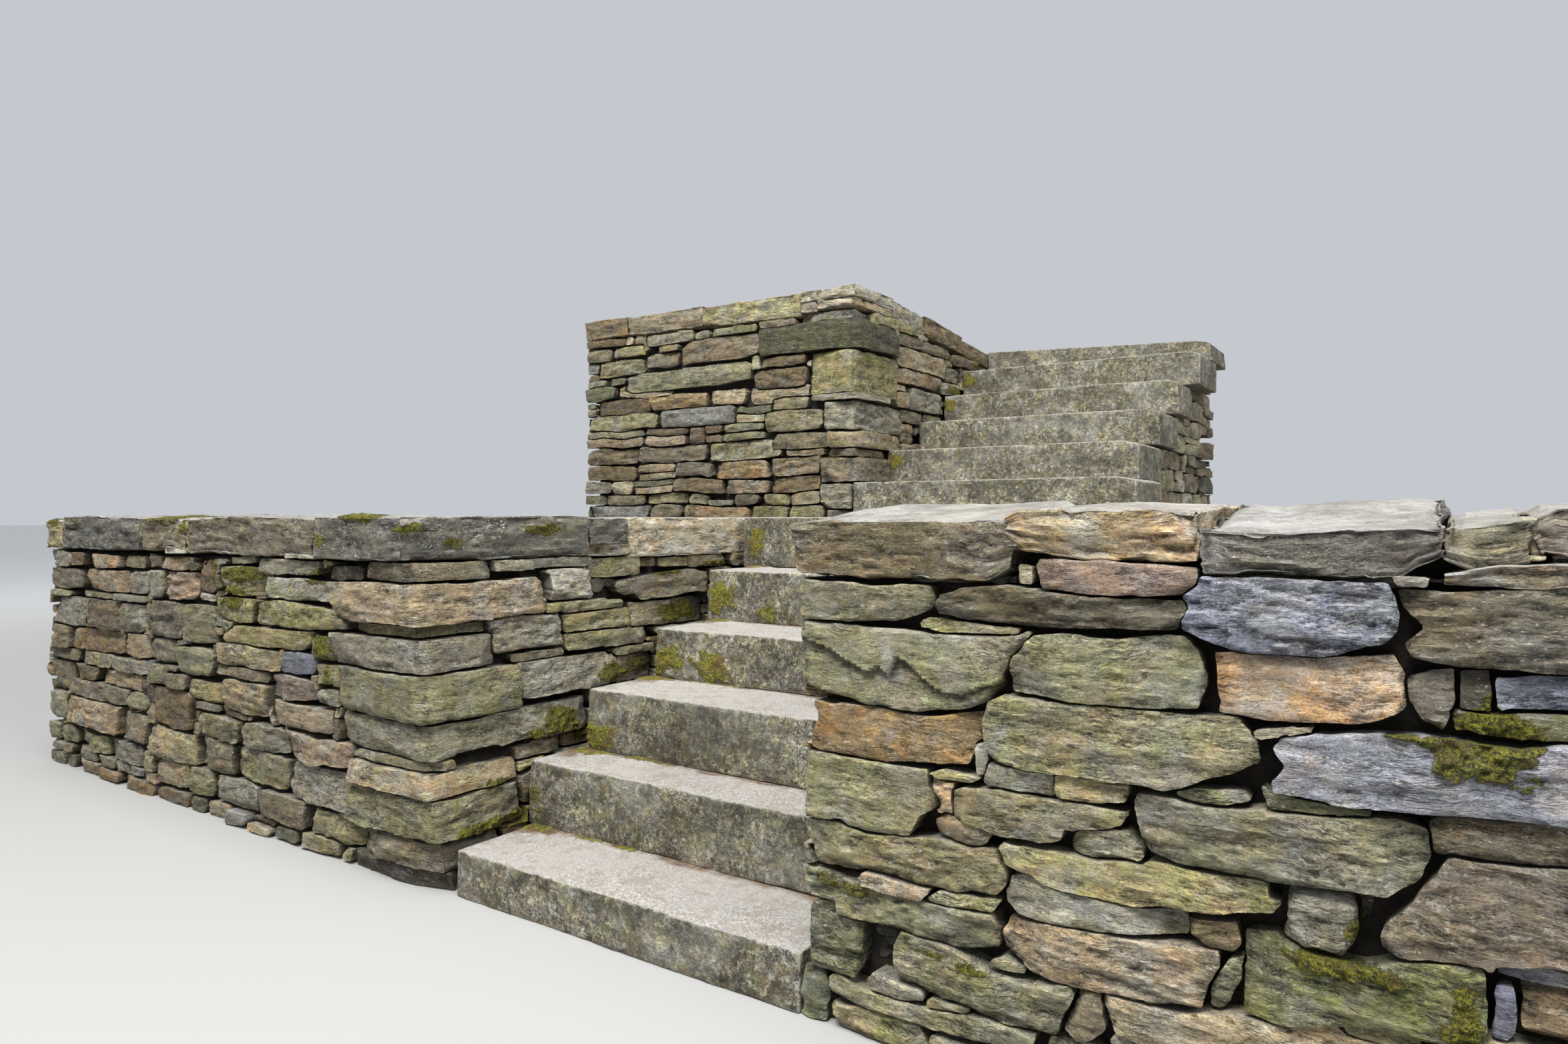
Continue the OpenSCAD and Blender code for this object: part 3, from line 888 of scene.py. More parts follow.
def schist_material(name, top=0.5, film=1.0, lich=1.0):
    N = Nodes(name)
    T = N.attr("tex", "Vector")
    col = N.attr("col", "Color")
    k = N.t.nodes.new("ShaderNodeSeparateXYZ")
    N.link(N.attr("kk", "Vector"), k.inputs[0])
    rust_k, film_k, lich_k = k.outputs[0], k.outputs[1], k.outputs[2]
    moss, edg, cav = N.attr("moss"), N.attr("edg"), N.attr("cav")
    # wavy bedding
    w1 = N.noise(T, 7.0, 3)
    w2 = N.noise(T, 28.0, 2)
    warp = N.math("ADD", N.math("MULTIPLY", w1, 0.045), N.math("MULTIPLY", w2, 0.010))
    comb = N.t.nodes.new("ShaderNodeCombineXYZ")
    N.link(warp, comb.inputs[2])
    W = N.vmath("ADD", T, comb.outputs[0])
    mottle = N.noise(N.scale_xyz(W, (9.0, 9.0, 58.0)), 1.0, 8, 0.68)
    fine = N.noise(N.scale_xyz(W, (30.0, 30.0, 185.0)), 1.0, 6, 0.70)
    micro = N.noise(N.scale_xyz(W, (120.0, 120.0, 560.0)), 1.0, 3, 0.65)
    streaky = N.step(N.noise(T, 6.0, 3), 0.38, 0.62, 0.45, 1.25)
    grain = N.noise(T, 240.0, 4, 0.75)
    mid = N.noise(T, 13.0, 5, 0.6)
    big = N.noise(T, 4.5, 3, 0.5)

    def ledges(x, steps):
        q = N.math("MULTIPLY", x, steps)
        fl = N.math("FLOOR", q)
        fr = N.math("SUBTRACT", q, fl)
        return N.math("ADD", fl, N.step(fr, 0.72, 1.0)), N.step(N.math("ABSOLUTE", N.math("SUBTRACT", fr, 0.82)), 0.0, 0.14, 1.0, 0.0)
    led, ledge_shade = ledges(N.noise(N.scale_xyz(W, (9.0, 9.0, 36.0)), 1.0, 6, 0.62), 12.0)
    led2, ledge_shade2 = ledges(N.noise(N.scale_xyz(W, (26.0, 26.0, 95.0)), 1.0, 4, 0.6), 9.0)
    # how light the stone is; its stains follow it
    ch = N.t.nodes.new("ShaderNodeSeparateXYZ")
    N.link(col, ch.inputs[0])
    lum = N.step(ch.outputs[1], 0.0, 0.38, 0.12, 1.90)

    def tone(c):
        return N.vmath("SCALE", c, None, lum)
    # colour patches of one stone
    c = N.mix(N.math("MULTIPLY", N.step(N.noise(T, 8.0, 5, 0.6), 0.48, 0.60), 0.46), col, tone(L3(138, 138, 134)))
    c = N.mix(N.math("MULTIPLY", N.step(N.noise(W, 12.0, 5, 0.6), 0.52, 0.66), 0.32), c, tone(L3(110, 96, 76)))
    # iron stain
    rm = N.math("MULTIPLY", N.step(N.noise(W, 10.0, 6, 0.65), 0.46, 0.62), rust_k)
    rc = N.mix(N.step(mottle, 0.38, 0.64), L3(122, 90, 58), L3(172, 139, 101))
    c = N.mix(N.math("MULTIPLY", rm, 0.60), c, tone(rc))
    # olive film
    fm = N.math("MULTIPLY", N.step(N.noise(T, 7.0, 6, 0.66), 0.43, 0.62), film_k)
    fc = N.mix(N.step(mid, 0.35, 0.65), L3(90, 91, 52), L3(138, 135, 82))
    c = N.mix(N.math("MULTIPLY", fm, 0.52 * film), c, tone(fc))
    c = drift(N, T, c, N.math("MULTIPLY", rust_k, 0.8), N.math("MULTIPLY", film_k, 0.7), 0.5)
    # light and dark
    v = N.math("ADD", N.step(fine, 0.36, 0.66, -0.38, 0.46), N.step(micro, 0.34, 0.68, -0.32, 0.38))
    v = N.math("ADD", v, N.step(mottle, 0.30, 0.70, -0.14, 0.17))
    # painted shade along the breaks of the small ledges in the bump
    v = N.math("SUBTRACT", v, N.math("MULTIPLY", ledge_shade, 0.27))
    v = N.math("SUBTRACT", v, N.math("MULTIPLY", ledge_shade2, 0.25))
    v = N.math("MULTIPLY", v, streaky)
    v = N.math("ADD", v, N.step(mid, 0.34, 0.68, 0.98, 1.22))
    v = N.math("ADD", v, N.step(grain, 0.3, 0.7, -0.30, 0.32))
    # painted highlight on bumps and near the stones' edges, painted shade in hollows and on the stones' sides in the
    # joints
    v = N.math("ADD", v, N.step(cav, 0.0, 1.0, 0.0, 0.40))
    v = N.math("ADD", v, N.step(cav, -1.0, 0.0, -0.52, 0.0))
    # painted highlight along upward-facing edges, with some edge wear
    edge_highlight_wear = N.math("MULTIPLY", N.step(edg, 0.5, 6.0, 0.42, 0.0), N.step(N.up(), 0.0, 0.45, 0.25, 1.0))
    v = N.math("ADD", v, N.math("MULTIPLY", edge_highlight_wear, N.step(N.noise(T, 22.0, 3), 0.38, 0.58)))
    v = N.math("MAXIMUM", v, 0.16)
    c = N.vmath("SCALE", c, None, v)
    # thin dark seams along the bedding
    seam = N.noise(N.scale_xyz(W, (6.0, 6.0, 70.0)), 1.0, 4, 0.55)
    seam = N.step(N.math("ABSOLUTE", N.math("SUBTRACT", seam, 0.5)), 0.0, 0.024, 1.0, 0.0)
    seam = N.math("MULTIPLY", seam, N.step(N.noise(T, 14.0, 3), 0.46, 0.58))
    c = N.mix(N.math("MULTIPLY", seam, 0.74), c, L3(34, 31, 26))
    # dark algae stains
    dm = N.step(N.noise(T, 9.0, 8, 0.75), 0.57, 0.68)
    c = N.mix(N.math("MULTIPLY", dm, 0.22), c, L3(64, 61, 51))
    dm2 = N.step(N.noise(N.scale_xyz(T, (50.0, 50.0, 90.0)), 1.0, 6, 0.8), 0.585, 0.65)
    c = N.mix(N.math("MULTIPLY", dm2, 0.50), c, L3(56, 52, 43))
    # pale quartz streaks and flecks
    fl = N.step(N.noise(N.scale_xyz(W, (95.0, 95.0, 250.0)), 1.0, 3, 0.6), 0.615, 0.69)
    fl = N.math("MULTIPLY", fl, N.step(big, 0.35, 0.6, 0.25, 1.0))
    c = N.mix(N.math("MULTIPLY", fl, 0.55), c, L3(208, 205, 194))
    # lichen
    lm = N.step(N.noise(T, 52.0, 6, 0.7), 0.575, 0.64)
    lm = N.math("MULTIPLY", lm, N.step(N.noise(T, 6.0, 3, 0.6), 0.46, 0.60))
    lm = N.math("MULTIPLY", lm, lich_k)
    c = N.mix(N.math("MULTIPLY", lm, 0.85 * lich), c, L3(182, 182, 166))
    dots = N.step(N.voronoi(T, 62.0), 0.20, 0.11)
    dots = N.math("MULTIPLY", dots, N.step(N.noise(T, 9.0, 4, 0.6), 0.50, 0.62))
    dots = N.math("MULTIPLY", dots, N.math("MULTIPLY", lich_k, 1.2))
    c = N.mix(N.math("MULTIPLY", dots, 0.75), c, L3(198, 197, 186))
    # paler upward faces: dust and bleaching, and painted light from above
    up = N.step(N.up(), 0.50, 0.82)
    top_dust_and_light = N.math("MULTIPLY", up, top)
    tc = N.mix(N.step(N.noise(T, 12.0, 8, 0.75), 0.38, 0.62), L3(136, 135, 131), L3(161, 160, 158))
    tc = N.mix(N.math("MULTIPLY", N.step(N.noise(N.scale_xyz(T, (20.0, 45.0, 45.0)), 1.0, 7, 0.75), 0.52, 0.64), 0.72), tc, L3(92, 89, 82))
    tc = N.mix(N.math("MULTIPLY", N.step(N.noise(T, 150.0, 4, 0.7), 0.50, 0.64), 0.35), tc, L3(118, 114, 104))
    tc = N.mix(N.math("MULTIPLY", N.step(N.noise(T, 3.0, 4, 0.6), 0.42, 0.66), 0.35), tc, L3(128, 124, 112))
    tc = N.vmath("SCALE", tc, None, N.step(N.noise(T, 6.5, 6, 0.7), 0.40, 0.60, 0.74, 1.08))
    c = N.mix(top_dust_and_light, c, tc)
    # moss
    mn = N.noise(T, 140.0, 4, 0.75)
    mc = N.mix(N.step(mn, 0.42, 0.60), L3(40, 44, 9), L3(136, 132, 30))
    mc = N.mix(N.math("MULTIPLY", N.step(N.noise(T, 26.0, 4), 0.50, 0.66), 0.7), mc, L3(92, 74, 38))
    mc = N.mix(N.math("MULTIPLY", N.step(N.noise(T, 330.0, 2), 0.57, 0.68), 0.7), mc, L3(168, 162, 50))
    mm = N.step(N.math("ADD", moss, N.math("MULTIPLY", N.math("SUBTRACT", N.noise(T, 55.0, 5, 0.7), 0.5), 1.3)), 0.34, 0.56)
    c = N.mix(N.math("MULTIPLY", mm, 0.94), c, mc)
    N.link(c, N.p.inputs["Base Color"])
    N.link(N.step(mottle, 0.3, 0.7, 0.94, 0.72), N.p.inputs["Roughness"])
    N.p.inputs["Specular IOR Level"].default_value = 0.30
    h = N.math("ADD", N.math("MULTIPLY", led, 0.085), N.math("MULTIPLY", led2, 0.065))
    h = N.math("ADD", h, N.math("MULTIPLY", mottle, 0.26))
    h = N.math("ADD", h, N.math("MULTIPLY", fine, 0.28))
    h = N.math("ADD", h, N.math("MULTIPLY", micro, 0.13))
    h = N.math("ADD", h, N.math("MULTIPLY", grain, 0.16))
    h = N.math("SUBTRACT", h, N.math("MULTIPLY", seam, 0.18))
    h = N.math("ADD", h, N.math("MULTIPLY", N.math("MULTIPLY", mm, mn), 1.5))
    N.link(N.bump(h, 0.019, 1.0), N.p.inputs["Normal"])
    return N.m


def granite_material(name):
    N = Nodes(name)
    T = N.attr("tex", "Vector")
    moss, edg, cav = N.attr("moss"), N.attr("edg"), N.attr("cav")
    up = N.step(N.up(), 0.70, 0.95)

    # grains of quartz, feldspar and mica
    def cell(scale):
        c = N.voronoi(T, scale, "Color")
        q = N.t.nodes.new("ShaderNodeSeparateXYZ")
        N.link(c, q.inputs[0])
        return q.outputs[0], q.outputs[1]
    a, b = cell(310.0)
    a2, b2 = cell(165.0)
    c = N.mix(N.step(a, 0.45, 0.60), L3(98, 96, 90), L3(156, 154, 148))
    c = N.mix(N.step(b, 0.80, 0.86), c, L3(196, 194, 188))
    c = N.mix(N.step(a, 0.22, 0.15), c, L3(50, 49, 45))
    c = N.mix(N.math("MULTIPLY", N.step(a2, 0.84, 0.90), 0.75), c, L3(48, 46, 42))
    c = N.mix(N.math("MULTIPLY", N.step(b2, 0.86, 0.92), 0.65), c, L3(186, 184, 176))
    # weathered risers: brown, olive and near-black films
    n1 = N.noise(T, 5.0, 6, 0.65)
    n2 = N.noise(T, 14.0, 7, 0.72)
    n3 = N.noise(N.scale_xyz(T, (9.0, 9.0, 2.2)), 1.0, 5, 0.65)
    n4 = N.noise(T, 60.0, 5, 0.7)
    f1 = N.step(n1, 0.36, 0.62, 0.40, 0.78)
    fc = N.mix(N.step(n2, 0.40, 0.60), L3(54, 50, 37), L3(106, 98, 72))
    cs = N.mix(f1, c, fc)
    cs = N.mix(N.math("MULTIPLY", N.step(n2, 0.505, 0.60), 0.72), cs, L3(38, 35, 28))
    cs = N.mix(N.math("MULTIPLY", N.step(n3, 0.55, 0.70), 0.34), cs, L3(112, 106, 72))
    cs = N.mix(N.math("MULTIPLY", N.step(n4, 0.545, 0.62), 0.56), cs, L3(166, 163, 150))
    cs = N.mix(N.math("MULTIPLY", N.step(N.noise(T, 75.0, 5, 0.75), 0.540, 0.62), 0.70), cs, L3(34, 32, 26))
    cs = N.mix(N.math("MULTIPLY", N.step(N.noise(T, 3.0, 3), 0.50, 0.64), 0.42), cs, L3(128, 127, 121))
    cs = N.mix(N.math("MULTIPLY", N.step(N.noise(T, 4.0, 7, 0.7), 0.52, 0.62), 0.55), cs, L3(56, 52, 41))
    cs = N.mix(N.math("MULTIPLY", N.step(N.noise(T, 19.0, 6, 0.7), 0.53, 0.61), 0.32), cs, L3(118, 107, 70))
    cs = N.mix(N.math("MULTIPLY", N.step(N.noise(T, 27.0, 6, 0.7), 0.55, 0.62), 0.28), cs, L3(160, 158, 150))
    cs = drift(N, T, cs, 0.34, 0.40, 0.30)
    cs = N.vmath("SCALE", cs, None, N.step(N.noise(T, 11.0, 8, 0.75), 0.40, 0.60, 0.70, 1.20))
    cs = N.vmath("SCALE", cs, None, N.step(N.noise(T, 30.0, 5, 0.65), 0.40, 0.60, 0.82, 1.19))
    cs = N.vmath("SCALE", cs, None, N.step(N.noise(T, 4.5, 5, 0.65), 0.40, 0.60, 0.72, 1.12))
    cs = N.mix(N.math("MULTIPLY", N.step(N.noise(N.scale_xyz(T, (5.0, 5.0, 14.0)), 1.0, 7, 0.72), 0.53, 0.63), 0.52), cs, L3(60, 57, 46))
    # painted highlight along the arrises, with some edge wear
    arris_highlight_wear = N.step(edg, 1.0, 9.0, 0.62, 0.0)
    arris_highlight_wear = N.math("MULTIPLY", arris_highlight_wear, N.step(N.noise(T, 34.0, 4), 0.40, 0.58))
    cs = N.mix(arris_highlight_wear, cs, L3(162, 159, 150))
    # treads: nearly clean, with dirt caught in places
    ct = N.mix(N.step(N.noise(T, 3.5, 5, 0.6), 0.35, 0.65, 0.50, 0.80), c, L3(150, 146, 141))
    ct = N.mix(N.math("MULTIPLY", N.step(N.noise(T, 15.0, 7, 0.75), 0.49, 0.62), 0.58), ct, L3(124, 113, 100))
    ct = N.mix(N.math("MULTIPLY", N.step(N.noise(T, 70.0, 5, 0.75), 0.58, 0.66), 0.36), ct, L3(90, 81, 68))
    c = N.mix(up, cs, ct)
    # browner and darker in the hollows and in the inner corners of the steps
    corner_tint = N.step(N.math("ADD", cav, N.math("MULTIPLY", N.math("SUBTRACT", n2, 0.5), 1.2)), -0.75, -0.15, 1.0, 0.0)
    dc = N.mix(N.step(n4, 0.40, 0.60), L3(62, 50, 38), L3(118, 98, 76))
    c = N.mix(N.math("MULTIPLY", corner_tint, N.step(up, 0.0, 1.0, 0.55, 0.88)), c, dc)
    mn = N.noise(T, 140.0, 4, 0.75)
    mc = N.mix(N.step(mn, 0.40, 0.60), L3(44, 50, 11), L3(136, 130, 32))
    mc = N.mix(N.step(N.noise(T, 24.0, 4), 0.48, 0.64), mc, L3(94, 74, 38))
    mm = N.step(N.math("ADD", moss, N.math("MULTIPLY", N.math("SUBTRACT", N.noise(T, 50.0, 5, 0.7), 0.5), 1.4)), 0.34, 0.58)
    c = N.mix(N.math("MULTIPLY", mm, 0.92), c, mc)
    N.link(c, N.p.inputs["Base Color"])
    N.link(N.step(a, 0.0, 1.0, 0.72, 0.94), N.p.inputs["Roughness"])
    N.p.inputs["Specular IOR Level"].default_value = 0.33
    h = N.math("ADD", N.math("MULTIPLY", N.noise(T, 170.0, 4, 0.65), 0.8), N.math("MULTIPLY", n2, 0.8))
    h = N.math("ADD", h, N.math("MULTIPLY", n4, 0.5))
    h = N.math("ADD", h, N.math("MULTIPLY", N.math("MULTIPLY", mm, mn), 2.0))
    N.link(N.bump(h, 0.006, 0.9), N.p.inputs["Normal"])
    return N.m


def core_material():
    N = Nodes("wall_core")
    tc = N.t.nodes.new("ShaderNodeTexCoord")
    T = tc.outputs["Object"]
    n = N.noise(T, 26.0, 5, 0.65)
    # painted shade: the core is nearly black, so the joints read as deep shadow
    c = N.mix(N.step(n, 0.35, 0.68), L3(16, 14, 11), L3(44, 38, 30))
    N.link(c, N.p.inputs["Base Color"])
    N.link(N.step(n, 0.3, 0.7, 0.9, 1.0), N.p.inputs["Roughness"])
    N.link(N.bump(n, 0.02, 1.0), N.p.inputs["Normal"])
    return N.m


SCHIST = schist_material("schist", top=0.30)
CAP = schist_material("schist_caps", top=0.85)
FLAG = schist_material("flagstone", top=0.7)
GRANITE = granite_material("granite")
CORE = core_material()


# ---------------------------------------------------------------- measures shared with the CAD model, mm
LZ = [0, 139, 345, 553, 734, 933, 1144]
LY = [-2600, -2298, -2082, -1768, -1423, -1131]
LB = [-2218, -2002, -1688, -1343, -1051, -760]
LX = [0, -24, 28, 55, 30, -14]
UZ = [1144, 1338, 1539, 1740, 1941, 2142, 2334]
UY = [199, 619, 1026, 1396, 1701, 2136]
UB = [699, 1106, 1476, 1781, 2216, 2637]
UR = [1283, 1188, 1196, 1212, 1270, 1250]
XR, X0, X1 = 1236, -2955, 2955


def xc(v):
    return -20 - np.clip(v, 0, 1200) / 1146.0 * 185


def xb(v):
    return 12 - np.clip(v, 0, 1200) / 1146.0 * 55


def ck(y, v):
    """u of a point on the cheek of the lower left wall"""
    return float(xc(v)) + (y + 2637)


def cheek(y0, y1, z0, z1):
    return [(ck(y0, z0), z0), (ck(y1, z0), z0), (ck(y1, z1), z1), (ck(y0, z1), z1)]


def turn(x0, y1, z0, z1):
    """a stone that turns the corner: from x0 on the front to y1 on the cheek"""
    return [(x0, z0 + 3), (x0 + 14, z0), (ck(y1, z0) - 12, z0), (ck(y1, z0), z0 + 4), (ck(y1, z1), z1 - 5),
            (ck(y1, z1) - 12, z1), (x0 + 10, z1), (x0, z1 - 5)]


# ---------------------------------------------------------------- right wall
def fracture(u, v):
    line = np.interp(u, [1210, 1257, 1311, 1365, 1403, 1442, 1465, 1488, 1511, 1549, 1595, 1641, 1680, 1730],
                     [880, 866, 851, 828, 806, 818, 805, 840, 835, 801, 776, 780, 800, 815])
    line = line + 4 * noise(u / 17, 0, 0, 77)
    return -15 * smooth(1, -4, v - line) + 6 * smooth(0, 40, v - line)


right_path = Path([(XR, -760), (XR, -2600), (X1, -2600), (X1, -2150)], 1, XR)
RIGHT = [
    ("lo", [(1100, 1004), (1240, 1006), (1400, 1003), (1560, 1000), (1571, 965), (1556, 945), (1500, 925), (1480, 915), (1250, 911), (1100, 915)], {"end": -4}),
    ("db", [(1574, 960), (1596, 985), (1640, 1002), (1740, 1009), (1900, 994), (2090, 991), (2083, 960), (2050, 935), (1760, 925), (1650, 929), (1585, 938)]),
    ("ol", [(1536, 918), (1560, 931), (1640, 930), (1775, 921), (1762, 905), (1600, 901), (1540, 908)]),
    ("gb", [(1400, 913), (1450, 920), (1534, 917), (1530, 907), (1440, 906)]),
    ("gg", [(1110, 905), (1222, 908), (1400, 903), (1560, 899), (1785, 916), (1745, 866), (1718, 800), (1686, 764), (1626, 743), (1540, 729), (1411, 732), (1295, 748), (1236, 763), (1120, 770)],
     {"end": 14, "feat": fracture, "facets": False, "d": 6, "la": 0.25, "R": 10}),
    ("gy", [(1275, 738), (1290, 745), (1345, 738), (1325, 722), (1282, 725)]),
    ("gg", [(1733, 830), (1738, 862), (1762, 880), (1792, 913), (1960, 919), (2065, 927), (2098, 905), (2110, 860), (2097, 800), (2000, 792), (1850, 786), (1745, 792)], {"d": 5}),
    ("or", [(2117, 902), (2150, 908), (2260, 905), (2320, 912), (2388, 918), (2404, 888), (2406, 830), (2380, 812), (2340, 800), (2200, 789), (2128, 794), (2124, 850)], {"d": 6, "la": 0.4, "film": 0}),
    ("mg", [(2404, 880), (2440, 898), (2474, 901), (2474, 850), (2456, 801), (2425, 814), (2410, 845)], {"d": -8}),
    ("dk", [(2476, 897), (2517, 902), (2518, 838), (2478, 838)], {"d": -14}),
    ("bg", [(2520, 898), (2640, 902), (2760, 900), (2762, 852), (2640, 846), (2521, 838)], {"d": -10}),
    ("dg", [(2460, 836), (2560, 842), (2760, 848), (2762, 812), (2620, 800), (2470, 803)], {"d": -12}),
    ("rs", [(1110, 718), (1238, 722), (1285, 730), (1400, 730), (1550, 724), (1640, 738), (1680, 743), (1684, 700), (1664, 672), (1649, 630), (1560, 623), (1420, 612), (1295, 616), (1253, 632), (1110, 630)], {"end": -14, "d": 2, "la": 0.55}),
    ("lg", [(1661, 680), (1686, 682), (1690, 658), (1676, 614), (1662, 611), (1658, 640)], {"d": -6}),
    ("yo", [(1567, 606), (1600, 618), (1684, 612), (1660, 597), (1590, 595)]),
    ("ol", [(1684, 742), (1696, 768), (1732, 788), (1850, 782), (2004, 787), (2155, 790), (2188, 758), (2196, 716), (2150, 692), (2119, 680), (2040, 646), (1850, 642), (1711, 646), (1690, 668)], {"d": 8, "la": 0.5}),
    ("gy", [(2181, 770), (2215, 780), (2276, 788), (2270, 776), (2185, 757)]),
    ("wg", [(2208, 748), (2226, 768), (2311, 784), (2390, 792), (2610, 800), (2810, 806), (2812, 700), (2610, 680), (2404, 661), (2311, 660), (2212, 666), (2206, 690), (2226, 716)], {"d": 9, "la": 0.6, "film": 0.05}),
    ("dg", [(2193, 684), (2215, 664), (2300, 660), (2360, 663), (2354, 646), (2290, 634), (2202, 631)]),
    ("gg", [(2046, 640), (2090, 656), (2165, 659), (2182, 646), (2140, 627), (2100, 623)]),
    ("db", [(2436, 655), (2470, 672), (2640, 682), (2800, 690), (2800, 628), (2640, 612), (2500, 600), (2442, 605)], {"d": 0}),
    ("gy", [(1681, 600), (1692, 642), (1760, 640), (1830, 640), (1829, 596), (1700, 593)], {"d": 3, "la": 0.4}),
    ("tn", [(1833, 641), (1970, 643), (1974, 602), (1835, 595)], {"d": 2}),
    ("ol", [(1120, 610), (1245, 609), (1400, 614), (1557, 610), (1566, 566), (1581, 538), (1540, 508), (1518, 464), (1449, 459), (1372, 463), (1345, 472), (1325, 464), (1243, 459), (1120, 465)], {"end": -7, "d": 4, "la": 0.45}),
    ("ol", [(1614, 540), (1617, 578), (1645, 594), (1740, 594), (1900, 592), (1973, 589), (1965, 558), (1900, 541), (1850, 536), (1843, 514), (1800, 500), (1718, 503), (1641, 511), (1617, 522)], {"d": 5}),
    ("rs", [(1571, 504), (1600, 525), (1630, 518), (1703, 498), (1692, 478), (1660, 461), (1620, 466), (1580, 478)], {"d": 0}),
    ("gg", [(1858, 512), (1884, 546), (1930, 550), (1965, 555), (1996, 520), (2001, 494), (1900, 489), (1862, 498)], {"d": -4}),
    ("lo", [(1980, 600), (1986, 628), (2040, 632), (2150, 630), (2230, 646), (2400, 652), (2441, 640), (2440, 598), (2426, 558), (2380, 525), (2200, 513), (2060, 514), (2012, 524), (1992, 560)], {"d": 9, "la": 0.7, "lich": 0.5}),
    ("mg", [(2444, 566), (2465, 606), (2500, 612), (2640, 620), (2790, 624), (2792, 470), (2640, 455), (2500, 434), (2400, 426), (2374, 440), (2374, 472), (2404, 505)], {"d": 2, "lich": 0.6}),
    ("ol", [(1120, 458), (1240, 456), (1340, 464), (1420, 455), (1520, 462), (1611, 478), (1660, 472), (1713, 473), (1724, 442), (1741, 405), (1712, 377), (1611, 366), (1480, 368), (1403, 369), (1380, 360), (1290, 358), (1245, 400), (1120, 405)], {"end": -22, "d": 3, "la": 1.1}),
    ("yo", [(1711, 478), (1726, 496), (1850, 489), (2004, 505), (2204, 510), (2208, 482), (2228, 476), (2216, 456), (2158, 450), (2104, 427), (1990, 420), (1850, 415), (1803, 416), (1788, 436), (1734, 447)], {"d": 7, "la": 0.6}),
    ("gy", [(2230, 440), (2236, 506), (2270, 513), (2330, 511), (2343, 490), (2336, 440), (2320, 405), (2260, 403), (2226, 412)], {"d": -2, "R": 14}),
    ("dk", [(2320, 524), (2359, 524), (2361, 480), (2347, 462), (2344, 500)], {"d": -30}),
    ("bg", [(2518, 455), (2560, 465), (2700, 480), (2790, 478), (2790, 448), (2640, 434), (2525, 424)], {"d": -6}),
    ("gy", [(1728, 396), (1742, 422), (1784, 434), (1850, 415), (2073, 416), (2074, 377), (2020, 366), (1850, 351), (1760, 352), (1732, 370)], {"d": 4}),
    ("br", [(2076, 412), (2160, 431), (2166, 392), (2150, 370), (2110, 366), (2079, 385)], {"d": 0}),
    ("og", [(2168, 412), (2219, 420), (2268, 402), (2350, 400), (2430, 430), (2512, 444), (2519, 380), (2516, 322), (2440, 300), (2342, 296), (2240, 270), (2169, 265), (2166, 330)], {"d": 6, "la": 0.5}),
    ("bg", [(2522, 418), (2546, 420), (2552, 350), (2540, 330), (2522, 332)], {"d": -4}),
    ("br", [(2556, 424), (2640, 436), (2790, 440), (2792, 345), (2640, 342), (2558, 350)], {"d": -6}),
    ("pk", [(1388, 345), (1410, 365), (1500, 363), (1572, 360), (1550, 335), (1480, 325), (1410, 332)], {"d": 8}),
    ("yo", [(1550, 338), (1590, 366), (1660, 367), (1727, 370), (1702, 340), (1600, 331)], {"d": 5}),
    ("gg", [(1120, 345), (1245, 352), (1290, 350), (1400, 332), (1550, 333), (1702, 342), (1722, 300), (1715, 265), (1640, 246), (1500, 250), (1440, 248), (1330, 245), (1325, 276), (1250, 279), (1120, 285)], {"end": -20, "d": 3, "la": 1.0, "lich": 0.6}),
    ("pk", [(1718, 300), (1735, 340), (1790, 346), (1850, 350), (2000, 362), (2127, 370), (2131, 345), (2112, 300), (2098, 258), (1990, 245), (1850, 238), (1790, 240), (1725, 270)], {"d": 8, "la": 0.8, "film": 0.2}),
    ("gg", [(2106, 262), (2110, 300), (2145, 356), (2166, 361), (2161, 320), (2136, 262), (2120, 252)], {"d": -10}),
    ("gg", [(1696, 240), (1720, 255), (1772, 241), (1766, 228), (1700, 226)], {"d": -4}),
    ("gy", [(1694, 225), (1780, 227), (1820, 215), (1760, 211), (1700, 215)], {"d": 2}),
    ("ol", [(2310, 293), (2350, 298), (2430, 300), (2425, 272), (2320, 268)], {"d": -6}),
    ("dg", [(1120, 250), (1250, 252), (1280, 270), (1325, 277), (1333, 250), (1398, 246), (1401, 150), (1380, 122), (1270, 120), (1130, 125)], {"end": -14, "d": -2, "film": 0.8}),
    ("dk", [(1403, 244), (1450, 250), (1472, 240), (1462, 190), (1430, 152), (1404, 160)], {"d": -38}),
    ("gg", [(1475, 215), (1490, 250), (1600, 248), (1692, 224), (1820, 229), (1860, 241), (1873, 220), (1850, 170), (1830, 130), (1760, 124), (1600, 128), (1490, 135), (1480, 170)], {"d": 5, "la": 0.9, "lich": 0.6}),
    ("gy", [(1413, 130), (1430, 150), (1545, 141), (1549, 115), (1500, 105), (1420, 110)], {"d": 2}),
    ("ol", [(1553, 118), (1562, 130), (1667, 128), (1640, 111), (1560, 109)], {"d": 0}),
    ("gb", [(1845, 148), (1858, 180), (1882, 236), (1926, 241), (1931, 170), (1902, 138), (1870, 128)], {"d": 2}),
    ("gy", [(1935, 150), (1950, 168), (1990, 160), (1985, 144), (1942, 140)], {"d": -4}),
    ("tn", [(1924, 230), (1928, 248), (2050, 240), (2140, 262), (2200, 263), (2300, 285), (2404, 280), (2406, 226), (2250, 196), (2000, 165), (1952, 172), (1936, 200)], {"d": 6, "film": 0.2}),
    ("ol", [(1310, 105), (1332, 122), (1410, 108), (1480, 104), (1560, 107), (1700, 122), (1795, 120), (1780, 82), (1600, 64), (1400, 66), (1320, 82)], {"d": 4}),
    # below and beyond the photo's frame
    ("dg", [(1120, 118), (1240, 118), (1300, 108), (1312, 78), (1306, 4), (1120, 4)], {"end": -18}),
